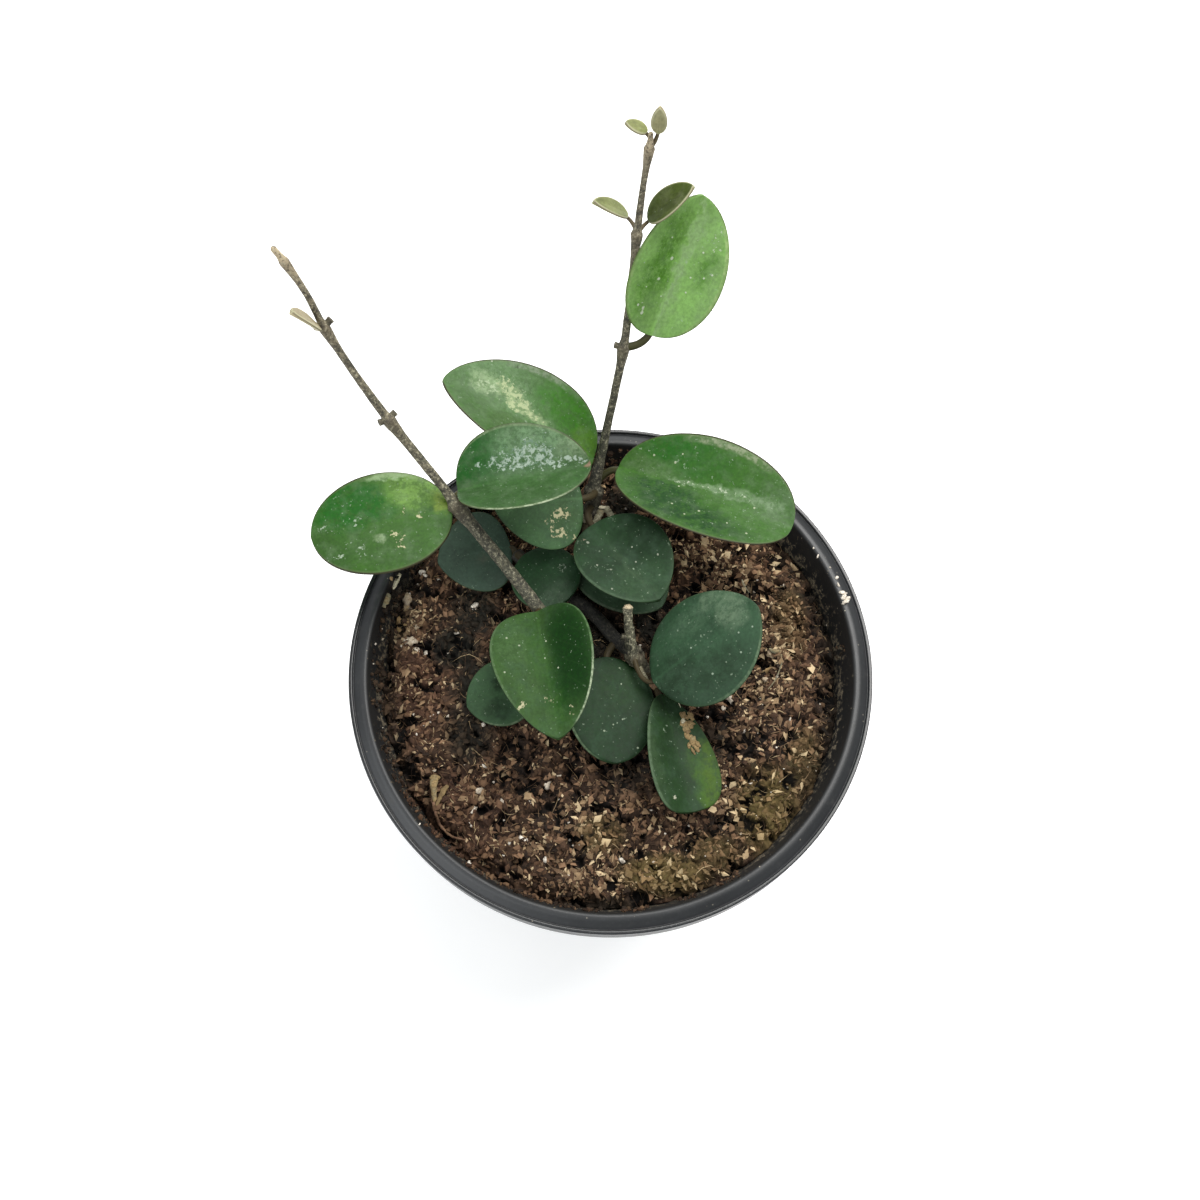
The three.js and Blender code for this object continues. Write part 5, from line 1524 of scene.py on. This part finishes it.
# larger pieces where they lie: x, y, half length, tone from 0, tan, to 1, white
nuggets = [
    (-27.6, -21.4, 0.55, 0.9), (-13.7, -25.4, 0.85, 0.6), (-28.6, -26.6, 1.0, 0.55),
    (-29.8, -30.8, 0.9, 0.75), (-23.6, -28.8, 0.8, 0.7), (-19, -37, 0.95, 0.8), (-21.8, -38, 0.4, 1),
    (-14, -41.4, 0.7, 0.95), (-9, -36.8, 0.55, 1), (-4.6, -38, 0.35, 1), (-23, -40.6, 0.45, 1),
    (2.3, -41.4, 0.8, 0.8),
    (36.2, 4.2, 1.1, 0.35), (35.4, 0.8, 1.3, 0.1), (34.7, -1.6, 0.9, 0.4), (37.6, -0.6, 0.6, 1),
    (33.5, 8.2, 0.8, 1), (26.8, -5.8, 1.25, 0.6), (25, -3.6, 0.7, 0.8), (25.2, -8.2, 0.6, 0.6),
    (29.6, -12.6, 0.7, 1), (12.6, 19.2, 0.9, 0.3), (24.8, 13.8, 0.7, 0.5), (-46.6, 16.6, 0.9, 0.5),
    (-44.3, 11.4, 0.7, 0.4), (-39.8, -10.7, 0.7, 0.7), (-38.2, -9.2, 0.6, 0.6), (-43, -14, 0.5, 0.9),
    (-12, 24.5, 0.6, 0.2), (40.4, 21.4, 0.7, 0.5), (17, -34, 0.6, 0.9), (31.5, -24, 0.6, 0.5),
    (-46.6, 18, 1.4, 0.42), (-46.9, 16.3, 1.2, 0.3), (-48.6, 13.6, 1.1, 0.1), (-46.8, 12.6, 1.2, 0.0),
    (-47.4, 14.9, 1.0, 0.25), (-48.6, 11.4, 0.9, 0.1), (-45.4, 7.9, 1.2, 0.5), (-43.8, 5.9, 0.8, 0.6),
    (-43.5, 24.8, 0.9, 1), (-42.6, 23.4, 0.6, 1), (-39.4, 22.4, 0.7, 1), (-42.4, 10, 0.6, 1),
    (-35.1, 10, 0.6, 1), (-31.2, 15.8, 1.1, 0.85), (-42.2, 5.2, 0.6, 0.95)]
# chips on the wall's inside and on the rim: x, y, half length and tone
chips = [
    (51.0, 20.4, 0.55, 1), (51.3, 18.5, 0.7, 1), (46.2, 27.5, 0.45, 0.9), (47, 25.5, 0.5, 1),
    (52.3, 15.7, 1.3, 0.9), (52.6, 14.6, 1.1, 1), (52.1, 16.8, 1.0, 0.95), (53.2, 15.5, 0.8, 0.9),
    (49.6, 22.8, 0.4, 0.9), (-30.4, -42.5, 0.8, 0.9), (-12.3, -50.6, 0.4, 0.9), (-40.4, -35, 0.4, 0.9),
    (-49.3, 20.2, 0.6, 0.2),
    (-51.7, 9.7, 0.4, 1), (-52.5, 5.7, 0.45, 1), (-52.8, 1.1, 0.35, 0.9), (-51.6, 8, 0.3, 0.5),
    (45.4, 24, 0.3, 0.8), (50, 12.6, 0.3, 0.8), (-50.6, -12.4, 0.3, 0.8), (24.3, 46.2, 0.3, 0.7)]


def perliteMaterial():  # from tan to white by each grain's tint, with darker pores
    material, wire = newMaterial("perlite")
    point = objectPoint(wire)
    tint = wire.attribute("tint")
    soft = point.noise(0.8, 3)
    pores = point.noise(3.5, 4, 0.7)
    base = (tint + soft * 0.4 - 0.2).above(0.1, 0.9).blend(colour(146, 122, 84), colour(222, 214, 200))
    base = ((1 - pores.above(0.38, 0.55)) * 0.6).blend(base, colour(104, 84, 60))
    return finishSurface(material, base, 0.85, pores.bump(0.8, 0.2), {"Specular IOR Level": 0.3})


def makePerlite():
    # small white grains at random, then the larger nuggets where they lie, some white and some tan
    random = np.random.default_rng(perlite["seed"])
    x, y = scattered(random, perlite["count"], insideRadius(soil["level"]) - 1.5)
    radii = sized(random, perlite["small"], perlite["large"], len(x), 3)
    white = random.uniform(0.5, 1, len(x))
    listed = np.array(nuggets)
    x, y = np.append(x, listed[:, 0]), np.append(y, listed[:, 1])
    radii, white = np.append(radii, listed[:, 2]), np.append(white, listed[:, 3])
    height = soilTop(x, y)[0]
    centres = np.stack([x, y, keptClear(x, y, height + radii * 0.45, radii)], -1)
    listed = np.array(chips)
    out = np.hypot(listed[:, 0], listed[:, 1])
    onWall = (out - insideRadius(0)) / wallSlope
    onRim = pot["height"] - 0.55 * np.maximum(0, out - insideRadius(pot["height"]) - 1.5)
    rise = np.where(out < insideRadius(pot["height"]), onWall, onRim)
    centres = np.concatenate([centres, np.column_stack([listed[:, :2], rise])])
    radii, white = np.append(radii, listed[:, 2] * 0.8), np.append(white, listed[:, 3])
    stretch = random.uniform(0.35, 1.2, (len(radii), 3))
    shape = splitFaces(*icosahedron())
    points, faces = lumpField(centres, radii, stretch, turned(random, len(radii)), random, shape, 0.42)
    values = {"tint": np.repeat(white, len(shape[0]))}
    makePiece("perlite_grains", points, [faces], perliteMaterial(), None, values)


# dry stalk and scraps

# each strip: points with a height above the soil, half widths along it, half thickness, turns of twist,
# and a tone from 0, brown, to 1, cream
dryStrips = [
    ([(-38.5, -29.2, 1.3), (-38, -31.3, 1.3), (-37.3, -33.5, 1.2), (-36.1, -34.9, 1.2), (-34.5, -36.1, 1.2),
      (-33, -36.7, 1), (-31.4, -37.2, 0.5)], [0.4, 0.36, 0.34, 0.3, 0.28, 0.26, 0.18], 0.22, 0.0, 0.25),
    ([(-38.5, -23, 1.7), (-38.6, -25.2, 1.9), (-38.5, -27.6, 1.7), (-38.3, -30.4, 1.2)],
     [1.05, 0.85, 0.65, 0.3], 0.12, 0.1, 0.64),
    ([(-37.8, -30.1, 1.2), (-37.2, -28.4, 1.5), (-36.6, -27.2, 1.7), (-35.7, -25.4, 1.6)],
     [0.25, 0.5, 0.7, 0.55], 0.1, -0.08, 0.46)]
# scraps: the same, with heights from the table that the pot stands on
scraps = [
    ([(-6.3, 37.6, 79.2), (-5.4, 36.6, 79.8), (-4.2, 35.6, 79.4)], [0.5, 1.1, 0.7], 0.14, 0.1, 0.8),
    ([(-5.6, 35.7, 79.2), (-4.8, 36.9, 80), (-4, 38.3, 79.6)], [0.5, 0.9, 0.5], 0.12, 0.15, 0.74),
    ([(-3.7, 35.2, 79.2), (-2.8, 37, 80.6), (-1.8, 38.9, 80.4)], [0.5, 1.1, 0.7], 0.12, -0.1, 0.8),
    ([(-2.2, 39, 80.4), (-0.9, 38.4, 80.9), (0.2, 36.6, 80.2), (0.3, 35.4, 79.8)], [0.5, 1.0, 0.8, 0.4],
     0.12, 0.2, 0.82),
    ([(-0.2, 35.8, 79.8), (0.9, 35, 80.6), (2, 34.2, 80.4)], [0.25, 0.5, 0.3], 0.1, 0.1, 1.0),
    ([(-2.6, 38.8, 81.1), (-1.9, 38.9, 81.3), (-1, 38.7, 81.1)], [0.3, 0.5, 0.3], 0.12, 0.0, 1.0),
    ([(5, 2.7, 80), (6.1, 0.6, 81.4), (7.5, -1.7, 82.2), (8.5, -3.5, 82.4)], [1.0, 0.7, 0.4, 0.2],
     0.16, 0.0, 0.84),
    ([(8.9, -4.9, 83), (10, -4, 83.6), (11, -4.5, 83.3)], [0.8, 1.3, 0.7], 0.12, 0.15, 0.3),
    ([(10.4, -4.2, 83.2), (11.6, -4.8, 83.4), (12.6, -6.2, 83.2)], [0.7, 0.6, 0.2], 0.1, -0.3, 0.4),
    ([(-50, 17.2, 82.4), (-50.55, 15.6, 82.5), (-51, 13.9, 82.4)], [0.5, 1.0, 0.6], 0.15, 0.05, 0.72),
    ([(-47.8, 22.3, 81.5), (-48.6, 20.5, 81.7), (-49.3, 18.6, 81.4)], [0.4, 0.75, 0.35], 0.12, 0.1, 0.98),
    ([(14.2, -7.2, 85), (14.6, -8.4, 85), (15.2, -9.8, 84.6)], [0.12, 0.14, 0.1], 0.08, 0.2, 0.9),
    ([(35.8, 5.3, 78.8), (37.1, 4.4, 79.3), (38.2, 4.6, 78.9)], [0.3, 0.55, 0.3], 0.14, 0.2, 0.75),
    ([(38.4, 3.9, 79), (38.5, 2.3, 79.2), (37.4, -0.8, 78.9), (36.4, -2.6, 78.8), (35.2, -4, 78.2)],
     [0.2, 0.14, 0.12, 0.12, 0.1], 0.09, 0.1, 0.75),
    ([(30.3, 22, 78.4), (30.7, 20.3, 79), (31.8, 18.8, 78.4)], [0.14, 0.16, 0.12], 0.09, 0.2, 0.85)]
# papery bits on the curled leaf: along and across where each one starts and ends, half width, tone
papery = [
    (5.2, 3.0, 7.0, 4.6, 0.7, 0.5), (5.4, 4.8, 7.6, 5.6, 0.55, 0.58), (6.8, 3.0, 8.8, 3.6, 0.85, 0.62),
    (7.4, 4.8, 9.4, 4.6, 0.8, 0.55), (8.4, 2.8, 10, 4.0, 0.7, 0.66), (8.8, 4.4, 10.8, 3.4, 0.6, 0.44),
    (10, 2.9, 11.8, 3.6, 0.55, 0.6), (10.8, 3.6, 12.6, 4.8, 0.6, 0.64), (11.6, 3.8, 13.6, 4.2, 0.5, 0.5),
    (12.2, 4.6, 14, 5.4, 0.4, 0.56), (12.4, 3.2, 13.8, 3.0, 0.35, 0.62), (6.2, 3.8, 8.4, 2.6, 0.35, 0.9),
    (13.2, 4.2, 15, 4.8, 0.4, 0.6), (13.6, 3.4, 15.4, 3.9, 0.3, 0.52)]


def stripShell(points, halfWidths, thin, twist, seed):
    # an oval tube along a curve: wide across, thin upwards, turned slowly, with wandering edges
    path, at, place = splineThrough(points, 0.18)
    reach = np.interp(place, np.arange(len(points)), halfWidths)
    wander = layered(np.stack([at * 1.3, np.full(len(at), seed * 3.7)], -1), seed, 3)
    first, second = sideways(path, (0.05, 0.03, 1))
    angle = (2 * np.pi * twist * at / at[-1] + 0.5 * wander)[:, None]
    wide = first * np.cos(angle) + second * np.sin(angle)
    flat = second * np.cos(angle) - first * np.sin(angle)
    turn = np.linspace(0, 2 * np.pi, 12, endpoint=False)[None, :]
    places = np.broadcast_arrays(at[:, None] * 2.2, 1.5 * np.cos(turn))
    across = reach[:, None] * (1 + 0.35 * layered(np.stack(places, -1), seed + 3, 2))
    cup = -0.35 * across * np.cos(turn) ** 2
    lift = thin * np.sin(turn) + cup + 0.35 * reach[:, None] * wander[:, None]
    aside = across * np.cos(turn)
    rings = path[:, None] + aside[..., None] * wide[:, None] + lift[..., None] * flat[:, None]
    return closedShell(rings, rings[0].mean(0), rings[-1].mean(0))


def onLeaf(leaf, spots, lift):  # points just above a leaf's upper face, from along and across in mm
    s = spots[:, 0] / leaf["length"]
    half = halfWidth(leaf, s)
    middle, _, across, out = bladeFrame(leaf, s)
    rise = foldRise(leaf, half, spots[:, 1] / half) + 0.5 + lift
    aslant = spots[:, 1] * math.cos(math.radians(leaf["fold"]))
    return middle + across * aslant[:, None] + out * rise[:, None]


def dryMaterial():  # from brown to cream by each strip's tone, with darker grain
    material, wire = newMaterial("dry bits")
    point = objectPoint(wire)
    tint = wire.attribute("tint")
    fine = point.noise(3.0, 4, 0.65)
    broad = point.noise(0.8, 3)
    stops = [(0.0, colour(62, 46, 36)), (0.22, colour(122, 92, 74)), (0.42, colour(108, 90, 60)),
             (0.62, colour(136, 115, 78)), (0.8, colour(122, 120, 99)), (1.0, colour(204, 196, 168))]
    base = wire.node("ShaderNodeValToRGB", {"stops": stops}, {0: tint + broad * 0.4 - 0.2})
    base = ((1 - fine.above(0.38, 0.52)) * 0.6).blend(base, colour(70, 56, 38))
    normal = fine.bump(0.6, 0.12)
    return finishSurface(material, base, 0.75 + fine * 0.15, normal, {"Specular IOR Level": 0.3})


def makeDryBits():  # the strips on the soil, then the scraps, with the papery bits on the curled leaf
    material = dryMaterial()
    ground = [([(x, y, soilTop(np.array(x), np.array(y))[0] + rise) for x, y, rise in points], *rest)
              for points, *rest in dryStrips]
    leaf = leaves["leaf_centre_curled"]
    onTop = []
    for startAlong, startAside, endAlong, endAside, reach, tone in papery:
        ends = np.array([(startAlong, startAside), (endAlong, endAside)])
        spots = np.array([ends[0], ends.mean(0), ends[1]])
        onTop.append((onLeaf(leaf, spots, 0.1) + np.array([[0, 0, 0], [0, 0, 0.45], [0, 0, 0.1]]),
                      [reach * 0.6, reach * 1.35, reach * 0.6], 0.1, 0.2 * (tone - 0.6), tone))
    for name, strips, slot, node in (("dry_stalk_curled", ground, "dry_stalk", "dry_stalk"),
                                     ("dry_scraps", scraps + onTop, "soil", None)):
        shells = [stripShell(*strip[:4], k + 1) for k, strip in enumerate(strips)]
        points, faces = joined(shells)
        tint = np.concatenate([np.full(len(shell[0]), strip[4]) for shell, strip in zip(shells, strips)])
        makePiece(name, points, faces, material, node, {"tint": tint})


for name, plan in shards.items():
    makeShards(name, plan)
makeCrumbs()
makeStrands()
makePerlite()
makeDryBits()
print("loose bits made")
